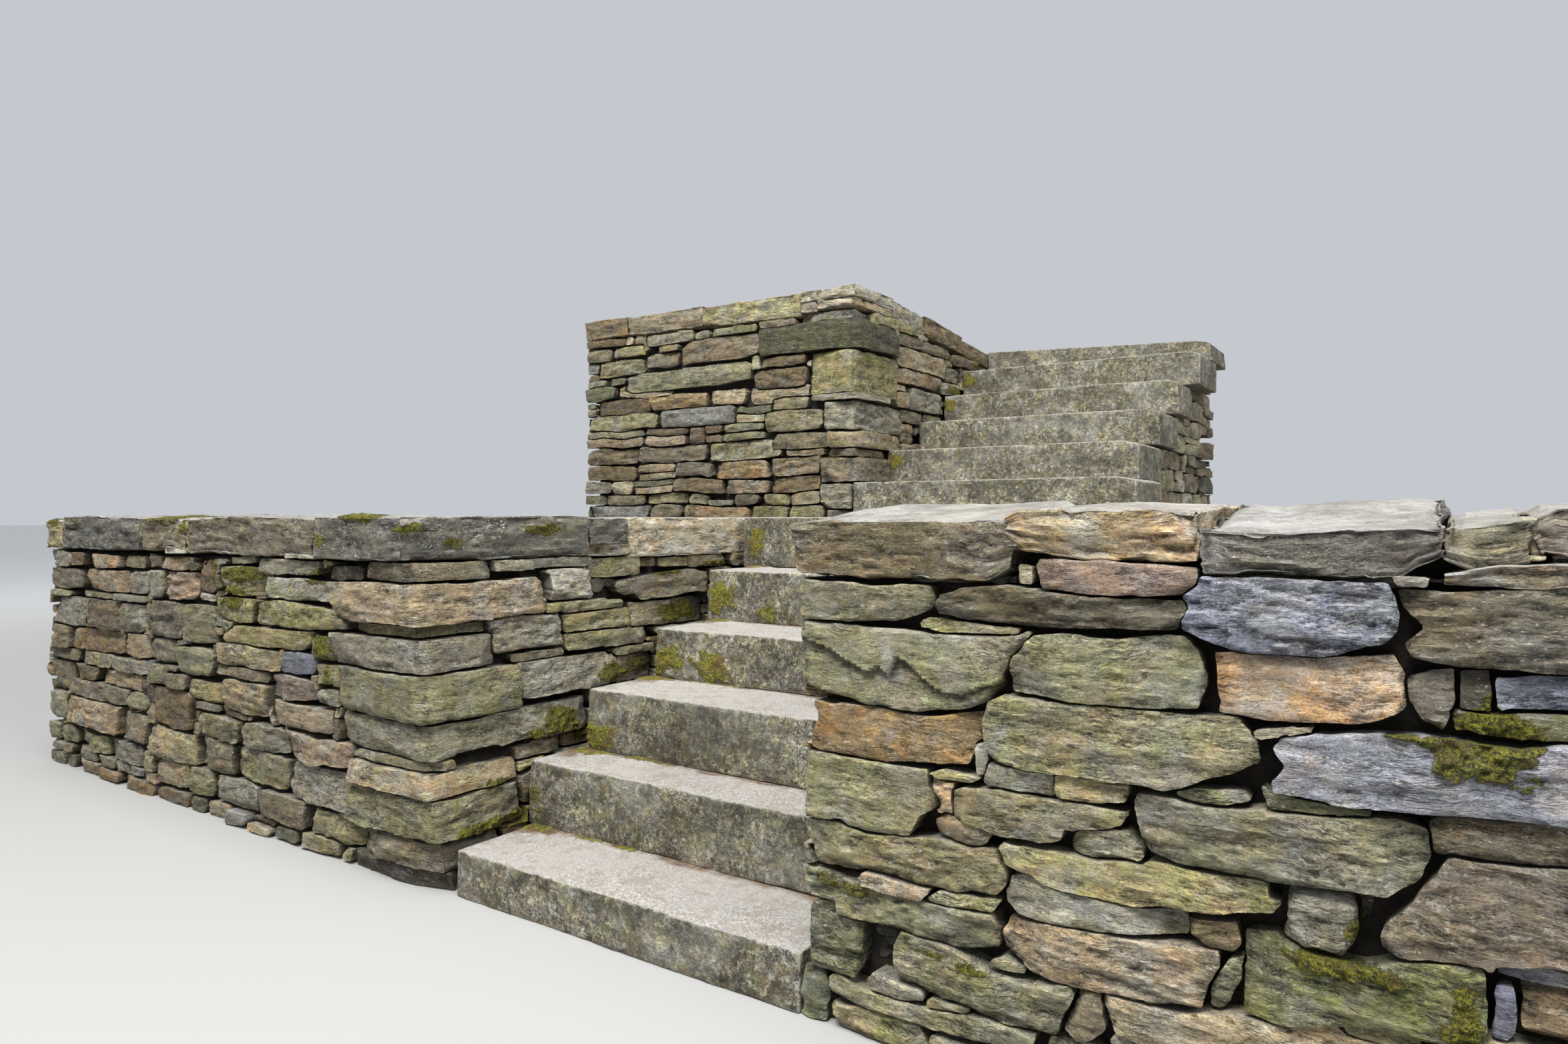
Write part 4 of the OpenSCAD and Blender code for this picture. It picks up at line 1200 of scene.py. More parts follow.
    ("ol", (1314, 1560, 2, 62), {}), ("gg", (1564, 1800, 2, 60), {}), ("gy", (1806, 1925, 2, 126), {}),
    ("gb", (1930, 2180, 2, 150), {}), ("ol", (2184, 2420, 2, 182), {}), ("gg", (2425, 2640, 2, 128), {}),
    ("br", (2425, 2600, 132, 292), {}), ("gy", (2604, 2800, 132, 232), {}), ("ol", (2440, 2700, 236, 330), {}),
    ("gg", (2644, 2900, 2, 128), {}), ("gb", (2705, 2960, 236, 336), {}),
    # just under the caps
    ("pu", [(1791, 1052), (1800, 1062), (1950, 1060), (2090, 1052), (2097, 1022), (2064, 1000), (1880, 992), (1800, 995)], {"d": 6, "la": 0.5, "film": 0.0}),
    ("gy", [(1756, 1042), (1765, 1048), (1788, 1047), (1788, 1010), (1760, 1010)], {"d": 0}),
    ("bg", [(2056, 960), (2070, 1000), (2100, 1037), (2200, 1038), (2380, 1036), (2396, 1010), (2395, 960), (2376, 936), (2330, 915), (2290, 902), (2180, 904), (2120, 920), (2062, 945)], {"d": 13, "la": 1.6, "lt": 17, "bt": -0.08, "film": 0}),
    ("gy", [(2388, 1046), (2440, 1046), (2436, 1030), (2396, 1030)], {"d": 0}),
    ("mg", [(2392, 1022), (2480, 1028), (2600, 1038), (2810, 1040), (2812, 912), (2640, 904), (2480, 905), (2412, 914), (2402, 935), (2430, 962), (2396, 1000)], {"d": 3, "la": 0.7}),
]
RIGHT_MOSS = [(2509, 778, 74, 74, 1.0), (2400, 790, 26, 9, 0.8), (2330, 392, 110, 20, 1.0), (2484, 350, 34, 62, 0.7),
              (2345, 440, 26, 40, 0.7), (1665, 218, 40, 14, 0.7), (1390, 318, 34, 20, 0.55), (1560, 225, 60, 10, 0.5),
              (2020, 250, 30, 10, 0.5), (1320, 330, 60, 22, 0.5)]


def stones(soup, explicit, fill, moss, u0, u1, v0, v1, cell, path, seed, want, joint=1.2, deep=85, low=None, high=None, rings=2, least=9.5, grow=2.4, corner=None, mute=0.0, mean=(116, 109, 91), gain=1.0, stop=None, broken=1.0):
    """one pass over a wall: the same layout every time, meshed at its own fineness"""
    p = Panel(u0, u1, v0, v1, cell, path, seed, joint=joint, deep=deep, low=low, high=high)
    p.least, p.grow, p.corner = least, grow, corner
    p.mute, p.mean, p.gain, p.stop, p.broken = mute, lin(mean), gain, stop, broken
    p.explicit(explicit)
    for f in fill:
        p.rubble(*f[0], **f[1])
    p.moss = moss
    p.build(soup, want, rings)


FILL = [((XR - 560, X1 + 450, 0, 1014), dict(seed=5, row=(58, 118), ratio=(1.8, 5.0)))]
near = lambda st: XR - 190 < st.c[0] < 2800
soup = Soup()
stones(soup, RIGHT, FILL, RIGHT_MOSS, XR - 330, 2990, 0, 1086, 6.0, right_path, 11, near, least=17.0, corner=lambda v: XR + 0 * v, joint=2.3)
stones(soup, RIGHT, FILL, RIGHT_MOSS, XR - 560, X1 + 450, 0, 1086, 16.0, right_path, 11, lambda st: not near(st), rings=1, corner=lambda v: XR + 0 * v, joint=2.3)
soup.build("right_wall_stones", SCHIST, "fieldstone", ["lower_right_front_wall", "lower_right_cheek_wall"])

# ---------------------------------------------------------------- lower left wall
left_path = Path([(X0, -2187), (X0, -2637), lambda v: (xc(v), -2637 + 0 * v), lambda v: (xb(v), -760 + 0 * v), (-640, -760)], 1, X0)
LEFT = [
    # corner stones, front to cheek
    ("gb", turn(-445, -2332, 940, 1000), {"d": -5}),
    ("ts", turn(-555, -2132, 806, 938), {"d": 13, "la": 0.7, "film": 0.1}),
    ("ol", turn(-505, -2368, 768, 802), {"d": -8}),
    ("gy", turn(-594, -2353, 660, 765), {"d": 5}),
    ("ol", turn(-544, -2274, 508, 655), {"d": 14, "la": 0.6}),
    ("gg", turn(-560, -1984, 392, 505), {"d": 2, "la": 0.6, "film": 0.3}),
    ("ol", turn(-480, -2537, 360, 390), {"d": -8}),
    ("tn", turn(-500, -2310, 284, 358), {"d": 13}),
    ("ol", turn(-520, -2305, 150, 282), {"d": 4, "film": 0.9}),
    ("gb", turn(-430, -2400, 60, 147), {"d": 0}),
    ("dk", turn(-500, -2500, 2, 58), {"d": -4}),
    # cheek
    ("gy", cheek(-2330, -2170, 960, 1000)), ("gy", cheek(-2170, -1912, 966, 1001), {"d": 5}), ("ol", cheek(-1919, -1678, 920, 994), {"d": 4}),
    ("br", cheek(-1674, -1576, 950, 985)), ("ol", cheek(-1560, -1400, 945, 985)), ("gb", cheek(-1396, -1180, 940, 995)),
    ("gy", cheek(-2164, -2128, 862, 950)), ("dk", cheek(-2126, -2100, 858, 946)),
    ("lg", cheek(-2112, -1923, 849, 962), {"d": 4, "lich": 0.9}), ("dk", cheek(-1936, -1800, 868, 916)),
    ("gb", [(ck(-1780, 840), 836), (ck(-1675, 830), 826), (ck(-1302, 850), 838), (ck(-1300, 920), 918), (ck(-1400, 935), 936), (ck(-1680, 920), 918), (ck(-1830, 900), 902), (ck(-1930, 905), 912), (ck(-1905, 880), 878), (ck(-1800, 862), 862)], {"d": 8}),
    ("ol", cheek(-1860, -1700, 830, 858), {"d": 4}),
    ("yo", cheek(-2140, -1775, 804, 846), {"d": 6, "la": 1.2}), ("yo", cheek(-2066, -1734, 732, 803), {"d": 3, "la": 1.0}),
    ("tn", cheek(-1735, -1500, 722, 820), {"d": -4}), ("gb", cheek(-1500, -1330, 722, 822), {"d": -10}),
    ("gy", cheek(-2366, -2066, 690, 813), {"d": 7, "R": 18}), ("ol", cheek(-2064, -1665, 665, 730), {"d": 6}),
    ("gb", cheek(-2293, -2080, 658, 686), {"d": 2}), ("ol", cheek(-2075, -1890, 655, 672)), ("ol", cheek(-1885, -1640, 630, 660)),
    ("gy", cheek(-2272, -1835, 533, 655), {"d": 7, "film": 0.2}), ("gb", cheek(-1832, -1640, 530, 626), {"d": -6}),
    ("gb", cheek(-2535, -2365, 382, 410)), ("gb", cheek(-2362, -2240, 378, 404)), ("gb", cheek(-2305, -2110, 340, 392), {"d": -4}), ("br", cheek(-2105, -1925, 345, 390), {"d": -8}),
    # front
    ("dk", (-661, -450, 930, 984)), ("gy", (-1089, -694, 940, 1000), {"d": 3}), ("lg", (-1028, -560, 853, 938), {"d": 2, "film": 0.7, "lich": 0.9}),
    ("ol", (-1344, -1032, 858, 966)), ("yo", (-1383, -1092, 758, 850)), ("yo", [(-1090, 800), (-1050, 845), (-900, 852), (-520, 830), (-508, 775), (-760, 757), (-1083, 760)], {"d": 4}),
    ("gg", (-744, -600, 658, 752), {"film": 0.8, "lich": 0.8}), ("yo", [(-1330, 700), (-1240, 745), (-735, 752), (-730, 725), (-790, 680), (-1300, 678)], {"d": 2}),
    ("tn", (-1430, -1332, 698, 730)), ("tn", (-1400, -935, 590, 676), {"d": 4}), ("bg", (-930, -712, 594, 674), {"d": -2, "film": 0, "lich": 0.1, "la": 0.3}),
    ("ol", (-708, -600, 574, 655)), ("ol", (-598, -548, 574, 650)), ("gy", (-705, -552, 512, 570)),
    ("pu", [(-1020, 530), (-990, 585), (-900, 596), (-720, 580), (-708, 520), (-900, 500), (-1010, 505)], {"d": 3, "film": 0}),
    ("gb", (-1400, -1024, 546, 588)), ("yo", (-1600, -1335, 436, 515), {"d": 2}), ("tn", (-1337, -1020, 420, 542), {"d": 3}),
    ("pk", (-1016, -590, 412, 500), {"d": 2, "film": 0.1}), ("gg", (-1700, -1396, 530, 638), {"film": 0.8}),
    ("mg", (-1950, -1640, 657, 808), {"d": -2}), ("gg", (-1636, -1394, 660, 808), {"d": 3}),
    ("gy", (-1950, -1814, 812, 934)), ("pk", (-1811, -1524, 812, 930), {"film": 0.1}),
    ("br", (-1528, -1375, 858, 984)), ("or", (-1850, -1590, 934, 986)), ("dk", (-1588, -1452, 930, 982)), ("lg", (-1528, -1407, 821, 853)),
    ("gb", (-1950, -1702, 558, 650)), ("gg", (-1945, -1808, 462, 552)), ("gb", (-1805, -1604, 463, 524)),
    ("br", (-1905, -1563, 304, 458), {"d": 4}), ("gb", (-1560, -1350, 404, 434)), ("tn", (-1950, -1552, 168, 300), {"d": 2}),
    ("ol", (-1539, -1200, 300, 398)), ("gg", (-1195, -900, 300, 400)), ("pk", (-895, -510, 300, 402)),
    ("gb", (-1545, -1270, 170, 296)), ("ol", (-1265, -890, 175, 296)), ("gy", (-885, -525, 160, 296)),
    ("tn", (-1900, -1640, 62, 164)), ("ol", (-1635, -1420, 66, 168)), ("gy", (-1415, -1100, 60, 170)), ("gb", (-1095, -760, 62, 168)), ("ol", (-755, -440, 60, 156)),
    # far part of the front
    ("gy", (-2908, -2702, 915, 990)), ("or", (-2567, -2195, 923, 985)), ("br", (-2700, -2570, 925, 990)), ("gb", (-2190, -1990, 930, 985)),
    ("gb", (-2958, -2602, 815, 913)), ("pk", (-2598, -2152, 818, 918)), ("gy", (-2148, -1955, 820, 925)),
    ("ol", (-2950, -2700, 782, 812)), ("gb", (-2695, -2300, 790, 814)), ("gy", (-2296, -1960, 792, 818)),
    ("gy", (-2950, -2545, 655, 780)), ("br", (-2500, -2202, 655, 788)), ("gg", (-2200, -1955, 658, 788)),
    ("gb", (-2955, -2705, 548, 650)), ("rs", (-2700, -2204, 552, 650)), ("tn", (-2192, -1955, 555, 652)),
    ("gb", (-2950, -2640, 490, 545)), ("ol", (-2636, -2300, 484, 548)), ("gy", (-2296, -1960, 486, 550)),
    ("gb", (-2955, -2722, 345, 485)), ("tn", (-2442, -2010, 414, 482)), ("br", (-2718, -2446, 418, 482)), ("gb", (-2717, -2142, 342, 413)), ("ol", (-2138, -1950, 330, 410)),
    ("gy", (-2955, -2762, 210, 342)), ("tn", (-2758, -2202, 208, 338)), ("gb", (-2198, -1955, 200, 326)),
]
LEFT_MOSS = [(-1200, 935, 150, 34, 1.0), (-1230, 850, 110, 48, 1.0), (-690, 945, 62, 40, 0.8), (-660, 700, 55, 55, 0.8), (-1360, 945, 26, 60, 0.7),
             (-1700, 985, 90, 14, 0.6), (-630, 600, 34, 40, 0.6),
             (ck(-2120, 440), 440, 90, 58, 1.0), (ck(-2230, 415), 412, 60, 26, 0.8), (ck(-2010, 400), 395, 60, 30, 0.7), (ck(-2400, 170), 168, 240, 26, 1.0),
             (ck(-2400, 290), 290, 60, 22, 0.6), (ck(-1560, 930), 932, 120, 13, 1.0), (ck(-1860, 575), 575, 90, 46, 0.7), (ck(-1700, 600), 590, 120, 34, 0.6),
             (ck(-1480, 770), 768, 150, 46, 0.9), (ck(-1250, 960), 958, 120, 14, 1.0), (ck(-2150, 240), 238, 60, 40, 0.5)]
CKEND = -20 + 1890


def left_low(u):
    """the cheek below the treads is hidden, so it is left plain there"""
    y = u - 60 - 2637
    z = np.interp(y, [-2637, -2300, -2299, -2082, -2081, -1768, -1767, -1423, -1422, -1131, -1130, -760],
                  [0, 0, 85, 85, 290, 290, 500, 500, 680, 680, 870, 870])
    return np.where((u > -60) & (u < 1800), z - 40.0, -60) + 0 * u


def left_stop(v):
    return xc(v) + np.hypot(xb(v) - xc(v), 1877.0) + xb(v) + 640


FILL = [((X0 - 450, CKEND + 650, 0, 996), dict(seed=8, row=(48, 104), ratio=(2.0, 5.2)))]
near = lambda st: X0 - 70 < st.c[0] < CKEND - 60
soup = Soup()
stones(soup, LEFT, FILL, LEFT_MOSS, X0 - 260, CKEND + 200, 0, 1000, 9.6, left_path, 23, near, deep=80, low=left_low, rings=2, least=8.0, corner=xc, mute=0.12, gain=0.80, broken=1.2, stop=left_stop, joint=3.2)
stones(soup, LEFT, FILL, LEFT_MOSS, X0 - 450, CKEND + 650, 0, 1000, 20.0, left_path, 23, lambda st: not near(st), deep=80, low=left_low, rings=1, corner=xc, mute=0.12, gain=0.80, broken=1.2, stop=left_stop, joint=3.2)
soup.build("lower_left_wall_stones", SCHIST, "fieldstone", ["lower_left_front_wall", "lower_left_cheek_wall"])

# ---------------------------------------------------------------- upper left wall
side_top = 2335.0


def upper_high(u):
    return 2335 - 150 * np.clip((u + 242 + 207 - 657) / 1980.0, 0, 1) + 0 * u


def upper_low(u):
    y = u + 242 + 207
    z = 0 * u
    for k in range(6):
        z = np.where(y >= UY[k] - 10, UZ[k + 1] - 75.0, z)
    z = np.where((u > -235) & (y < UY[0] + 2400), z, 0)
    return np.where(y > 2637, 0, z)


def sy(y):
    return -242 + (y - 207)


def side(y0, y1, z0, z1):
    return (sy(y0), sy(y1), z0, z1)


def uturn(x0, y1, z0, z1):
    return [(x0, z0 + 4), (x0 + 16, z0), (sy(y1) - 12, z0), (sy(y1), z0 + 5), (sy(y1), z1 - 6), (sy(y1) - 12, z1), (x0 + 12, z1), (x0, z1 - 6)]


upper_path = Path([(-2330, 657), (-2330, 207), (-242, 207), (-242, 2637), (-692, 2637)], 1, -2330)
UPPER = [
    ("br", (-2330, -1949, 2270, 2330)), ("gy", uturn(-608, 420, 2265, 2314), {"d": -8}), ("do", uturn(-886, 705, 2092, 2262), {"film": 0.7, "d": 17}),
    ("gb", (-900, -610, 2250, 2306)), ("gb", [(-1497, 2100), (-1497, 2200), (-1400, 2240), (-1100, 2249), (-890, 2240), (-886, 2120), (-1000, 2098)], {"d": 6}),
    ("ol", (-1247, -907, 2250, 2300)), ("gy", (-1386, -1256, 2240, 2300)), ("gy", (-1796, -1390, 2240, 2320)), ("gb", (-1803, -1513, 2098, 2194)), ("ol", (-1700, -1500, 2196, 2238)),
    ("yo", (-2094, -1800, 2190, 2268)), ("gb", (-2330, -2096, 2180, 2262)), ("ol", (-2233, -1817, 2072, 2176)),
    ("gg", [(-1983, 1980), (-1960, 2060), (-1800, 2075), (-1000, 2085), (-942, 2060), (-950, 1975), (-1200, 1950), (-1900, 1955)], {"d": 8, "la": 0.6}),
    ("br", (-886, -556, 2022, 2088)), ("br", (-938, -546, 1904, 2018), {"d": 2}), ("yo", uturn(-532, 720, 1845, 2084), {"d": 3}),
    ("gy", uturn(-520, 600, 1808, 1843), {"d": 14}), ("gy", uturn(-435, 803, 1636, 1804), {"d": 7, "lich": 0.5}), ("tn", uturn(-400, 782, 1536, 1633), {"d": 18, "film": 0.6}),
    ("gb", uturn(-430, 636, 1488, 1533), {"d": -8}), ("gb", uturn(-460, 636, 1342, 1485), {"d": 10, "film": 0.2}), ("gy", (-470, -246, 1190, 1338), {"d": 2}),
    ("ol", (-803, -540, 1770, 1840)), ("ol", (-860, -440, 1640, 1766)), ("gb", (-800, -405, 1540, 1636)),
    # side, above the treads
    ("tn", side(706, 1428, 2052, 2186), {"d": 8}), ("gb", side(735, 1100, 2190, 2265)), ("gb", side(1104, 1511, 2190, 2262)), ("br", side(1515, 1940, 2162, 2240)),
    ("ol", side(1431, 1664, 2044, 2143)), ("gb", side(1668, 1900, 2060, 2158)), ("pk", side(722, 1358, 1952, 2048), {"d": 4}), ("gy", side(1362, 1640, 1948, 2040)),
    ("bs", side(726, 900, 1908, 1949)), ("gy", side(903, 1372, 1808, 1946), {"d": 6}), ("tn", side(724, 900, 1808, 1905)),
    ("gb", side(806, 1120, 1722, 1804)), ("gg", side(1124, 1372, 1728, 1804)), ("rs", side(806, 1000, 1598, 1718)), ("ol", side(640, 800, 1490, 1534)),
]
UPPER_MOSS = [(sy(1550), 1985, 160, 40, 1.0), (sy(1520), 1860, 140, 46, 0.9), (sy(1900), 2212, 110, 24, 0.8), (sy(1180), 1700, 90, 40, 0.4), (sy(1000), 1590, 90, 26, 0.4),
              (-1000, 2225, 40, 14, 0.5), (sy(620), 1960, 70, 30, 0.4)]
FILL = [((-2330 - 450, sy(2637) + 450, 0, 2332), dict(seed=14, row=(56, 118), ratio=(2.6, 6.4)))]
near = lambda st: -2400 < st.c[0] < sy(2600) and st.c[1] > 1130
soup = Soup()
stones(soup, UPPER, FILL, UPPER_MOSS, -2330 - 200, sy(2637) + 200, 1000, 2340, 13.6, upper_path, 37, near, deep=80, low=upper_low, high=upper_high, least=13.0, corner=lambda v: -242 + 0 * v, mute=0.2, mean=(108, 104, 86), gain=0.82, joint=4.0, broken=2.1)
stones(soup, UPPER, FILL, UPPER_MOSS, -2330 - 450, sy(2637) + 450, 0, 2340, 23.0, upper_path, 37, lambda st: not near(st), deep=80, low=upper_low, high=upper_high, rings=1, least=13.0, corner=lambda v: -242 + 0 * v, mute=0.2, mean=(108, 104, 86), gain=0.82, joint=4.0, broken=2.1)
soup.build("upper_left_wall_stones", SCHIST, "fieldstone", ["upper_left_front_wall", "upper_left_side_wall"])

# ---------------------------------------------------------------- faces that the photo doesn't show
hidden = Soup()


def plain_wall(pts, u_anchor, u0, u1, v0, v1, seed, soup, cell=27.0, row=(72, 150), low=None, high=None, cols=MIX):
    p = Panel(u0, u1, v0, v1, cell, Path(pts, 0, u_anchor), seed, joint=2.5, deep=70, low=low, high=high)
    p.least = 12.0
    p.mute = 0.5
    p.rubble(u0, u1, v0, v1, row=row, seed=seed + 1, cols=cols, ratio=(1.8, 4.6))
    p.build(soup, None, 1)


# lower left wall: the side away from the steps and the back
plain_wall([(-640, -760), (-640, -2187)], 0, 4, 1420, 0, 1000, 41, hidden)
plain_wall([(-640, -2187), (X0, -2187)], 0, 7, 2310, 0, 1000, 43, hidden)
# lower right wall: the far side of its cheek wall and the back of the front wall
plain_wall([(X1, -2150), (XR + 450, -2150)], 0, 4, 1262, 0, 1017, 45, hidden)
plain_wall([(XR + 450, -2150), (XR + 450, -760), (XR, -760)], 0, 7, 1834, 0, 1017, 47, hidden)
plain_wall([(XR, -760), (XR, -2160)], 0, 4, 1290, 0, 1017, 49, hidden, low=lambda u: np.interp(-760 - u, [-2600, -2300, -2082, -1768, -1423, -1131, -760], [0, 60, 260, 470, 650, 860, 1017]) + 0 * u)
# upper left wall: left side and back
plain_wall([(-692, 2637), (-692, 657)], 0, 4, 1974, 0, 2335, 51, hidden, high=lambda u: 2185 + 150 * np.clip(u / 1980.0, 0, 1))
plain_wall([(-692, 657), (-2330, 657)], 0, 7, 1634, 0, 2335, 53, hidden)
hidden.build("inner_wall_faces", SCHIST, "fieldstone", [])

rub = Soup()
COARSE = ["gb", "br", "ol", "gg", "dk", "gy", "br", "gb"]
# landing: both sides
plain_wall([(XR - 6, -760), (XR - 6, 199)], 0, 2, 957, 0, 1052, 61, rub, cell=27.0, row=(84, 170), cols=COARSE)
plain_wall([(0, 199), (0, -760)], 0, 2, 957, 0, 1052, 63, rub, cell=27.0, row=(84, 170), cols=COARSE)


def base_high(u):
    y = 199 + u
    z = 1142 + 0 * u
    for k in range(5):
        z = np.where(y >= UB[k], UZ[k + 1] - 3.0, z)
    return z


plain_wall([(1170, 199), (1170, 2637), (-242, 2637)], 0, 4, 2438 + 1408, 0, 2142, 65, rub, cell=27.0, row=(84, 170),
           high=lambda u: np.where(u < 2438, base_high(u), 2140), cols=COARSE)
plain_wall([(-242, 199), (0, 199)], 0, 3, 238, 0, 1140, 67, rub, cell=27.0, row=(84, 170), cols=COARSE)
rub.build("stair_base_stones", SCHIST, "rubble", ["lower_flight_base", "landing_base", "upper_flight_base"])

# ---------------------------------------------------------------- rubble hearts of the walls, painted near-black as the deep shade in the joints
heart = Soup()
rnd = random.Random(71)


def core_box(x0, y0, z0, x1, y1, z1, cut=None):
    L = (x1 - x0, y1 - y0, z1 - z0)
    P, N, Q, dist, flat = rbox(L, 18.0, (190.0, 190.0, 190.0))
    s = rnd.randrange(1 << 16)
    q = P + np.array([x0, y0, z0])
    d = 11 * fbm(q[:, 0] / 110, q[:, 1] / 110, q[:, 2] / 90, s, 3) - 4
    q = q + N * d[:, None]
    if cut is not None:
        q = cut(q)
    n = len(q)
    heart.add(q, Q, [], tex=q * MM, col=np.zeros((n, 3)), kk=np.zeros((n, 3)), moss=np.zeros(n), edg=np.zeros(n), cav=np.zeros(n))


def lean_cut(q):
    lim = (-20 + 32 * (q[:, 1] + 2637) / 1877.0) - q[:, 2] / 1146.0 * (185 - 130 * (q[:, 1] + 2637) / 1877.0) - 62
    t = (q[:, 0] + 570) / 520.0
    q = q.copy()
    q[:, 0] = np.where(t > 0, -570 + t * (lim + 570), q[:, 0])
    return q


def fall_cut(q):
    q = q.copy()
    f = 150 * np.clip((q[:, 1] - 657) / 1980.0, 0, 1)
    q[:, 2] = q[:, 2] * (1 - f / 2335.0)
    return q


core_box(X0 + 60, -2577, 6, -610, -2247, 996)
core_box(-580, -2577, 6, -50, -822, 996, lean_cut)
core_box(XR + 62, -2540, 6, X1 - 60, -2210, 1012)
core_box(XR + 62, -2230, 6, XR + 390, -822, 1012)
core_box(1790, -2530, 990, 2080, -2220, 1062)
core_box(2110, -2530, 990, 2420, -2220, 1052)
core_box(2400, -2520, 990, 2900, -2220, 1082)
core_box(-2270, 267, 6, -640, 597, 2326)
core_box(-632, 267, 6, -302, 2575, 2326, fall_cut)
core_box(58, -800, 6, XR - 66, 240, 1046)
core_box(100, -2180, 6, XR - 40, -780, 300)
for k in range(6):
    y0 = UY[k] + 60 if k else 240
    core_box(-300, y0 - (0 if k else 0), 6, 1108, 2577, UZ[k] - 6) if k in (0,) else core_box(-300, UB[k - 1] + 8, UZ[k] - 60, 1108, 2577, UZ[k] - 4)
heart_ob = heart.build("wall_hearts", CORE, "rubble", [])

# ---------------------------------------------------------------- granite steps
STEP_RISE = [8, 6, 6, 6, 6, 6]


def moss_field(blobs):
    def f(p):
        m = np.zeros(len(p))
        for (x, y, z, rx, ry, rz, k) in blobs:
            r = np.sqrt(((p[:, 0] - x) / rx) ** 2 + ((p[:, 1] - y) / ry) ** 2 + ((p[:, 2] - z) / rz) ** 2)
            r = r + 0.75 * fbm(p[:, 0] / 44, p[:, 1] / 44, p[:, 2] / 44, 33, 4, 0.65)
            m = np.maximum(m, k * smooth(1.05, 0.45, r))
        return m
    return f


LOW_MOSS = [
    [(60, -2330, 139, 90, 40, 20, 1.0), (420, -2300, 139, 80, 22, 12, 0.8), (250, -2300, 139, 90, 14, 10, 0.7)],
    [(0, -2298, 230, 60, 20, 70, 0.6), (60, -2110, 345, 110, 40, 14, 1.0), (300, -2082, 350, 160, 22, 22, 0.9)],
    [(60, -2082, 400, 110, 20, 60, 0.9), (80, -1800, 553, 130, 40, 16, 1.0), (380, -1770, 560, 260, 20, 14, 0.7)],
    [(100, -1768, 620, 110, 20, 60, 1.0), (300, -1768, 610, 120, 20, 60, 1.0), (80, -1450, 734, 120, 40, 20, 1.0)],
    [(90, -1423, 820, 90, 20, 80, 0.7), (330, -1423, 780, 60, 20, 50, 0.6), (60, -1160, 933, 120, 40, 20, 1.0)],
    [(60, -1131, 1040, 60, 20, 90, 0.7)],
]
for i in range(6):
    so = Soup()
    rnd = random.Random(100 + i)
    x0, x1 = LX[i], XR
    L = (x1 - x0, LB[i] - LY[i], LZ[i + 1] - LZ[i])
    lean = rnd.uniform(2, 9)
    place = hexa(x0, x1, LY[i], LB[i], LZ[i] + 0.0, LZ[i + 1] + 0.0, L,
                 front=(lambda x, z, s=i, a=lean, zt=LZ[i + 1], zb=LZ[i]: 4.0 * noise(x / 330, 0.5 * s, 0, 7 + s) + a * (z - zb) / (zt - zb)))
    nxt = LY[i + 1] if i < 5 else -740

    # browner and darker at the back of each tread, towards its wall end and at the foot of each riser
    def tread_corner_tint(p, N, nxt=nxt, z0=LZ[i], x0=LX[i], y0=LY[i], s=i):
        n = fbm(p[:, 0] / 80, p[:, 1] / 60, p[:, 2] / 60, 51 + s, 3)
        up = N[:, 2] > 0.6
        back = np.clip(1 - (nxt - p[:, 1]) / (26 + 30 * (n + 0.3)), 0, 1) * (0.8 + n)
        end = np.clip(1 - (p[:, 0] - x0) / (110 + 110 * n), 0, 1) * np.clip(1 - (nxt - p[:, 1]) / 170.0, 0, 1) * 1.6
        foot = np.clip(1 - (p[:, 2] - z0) / (24 + 26 * (n + 0.3)), 0, 1) * 0.75
        return np.where(up, np.maximum(back, end), foot)
    slab(so, L, 4.5, (14.0, 28.0, 9.0), place, rnd, "gy", granite_disp, moss=moss_field(LOW_MOSS[i]), corner_tint=tread_corner_tint)
    so.build("lower_slab_%d" % (i + 1), GRANITE, "granite", ["lower_step_%d" % (i + 1)])

for i in range(6):
    so = Soup()
    rnd = random.Random(140 + i)
    x0, x1 = -242, UR[i]
    L = (x1 - x0, UB[i] - UY[i], UZ[i + 1] - UZ[i])
    drop = 60 if i == 5 else 0
    zt = UZ[i + 1]
    top = [(x0, zt), (x1 - 90, zt - drop), (x1 - 30, zt - drop - 10), (x1 + 20, zt - drop - 30)]
    place = hexa(x0, x1, UY[i], UB[i], UZ[i] + 0.0, top, L, slant1=14 * rnd.uniform(-1, 1),
                 front=(lambda x, z, s=i: 5.0 * noise(x / 300, 0.5 * s, 0, 17 + s)))
    # browner and darker towards the foot of each riser
    slab(so, L, 6.0, (22.0, 60.0, 14.0), place, rnd, "gy", granite_disp,
         moss=moss_field([(-200, UY[i], zt - 60, 60, 20, 60, 0.7)] if i in (1, 3, 4) else []),
         corner_tint=lambda p, N, z0=UZ[i], s=i: np.clip(1 - (p[:, 2] - z0) / (46 + 60 * fbm(p[:, 0] / 120, p[:, 1] / 90, p[:, 2] / 90, 81 + s, 3)), 0, 1) * 0.8)
    so.build("upper_slab_%d" % (i + 1), GRANITE, "granite", ["upper_step_%d" % (i + 1)])

# ---------------------------------------------------------------- landing flagstones
for i, nm in enumerate(("front", "middle", "back")):
    so = Soup()
    rnd = random.Random(180 + i)
    y0, y1 = -760 + i * 959 / 3.0 + 3, -760 + (i + 1) * 959 / 3.0 - 3
    cut = (520, 760, 640)[i]
    for (a, b) in ((-14, cut - 4), (cut + 4, XR)):
        L = (b - a, y1 - y0, 90.0)
        slab(so, L, 7.0, (30.0, 30.0, 24.0), hexa(a, b, y0, y1, 1054.0, 1144.0, L, ragged=3.0, seed=i), rnd, rnd.choice(["gy", "gb", "lg"]), schist_disp(0.45, 0.8, 18.0))
    so.build("landing_flag_%s" % nm, FLAG, "flagstone", ["landing_slab_" + nm])

# ---------------------------------------------------------------- caps of the right wall
so = Soup()
rnd = random.Random(201)
Y0, Y1 = -2600, -2150


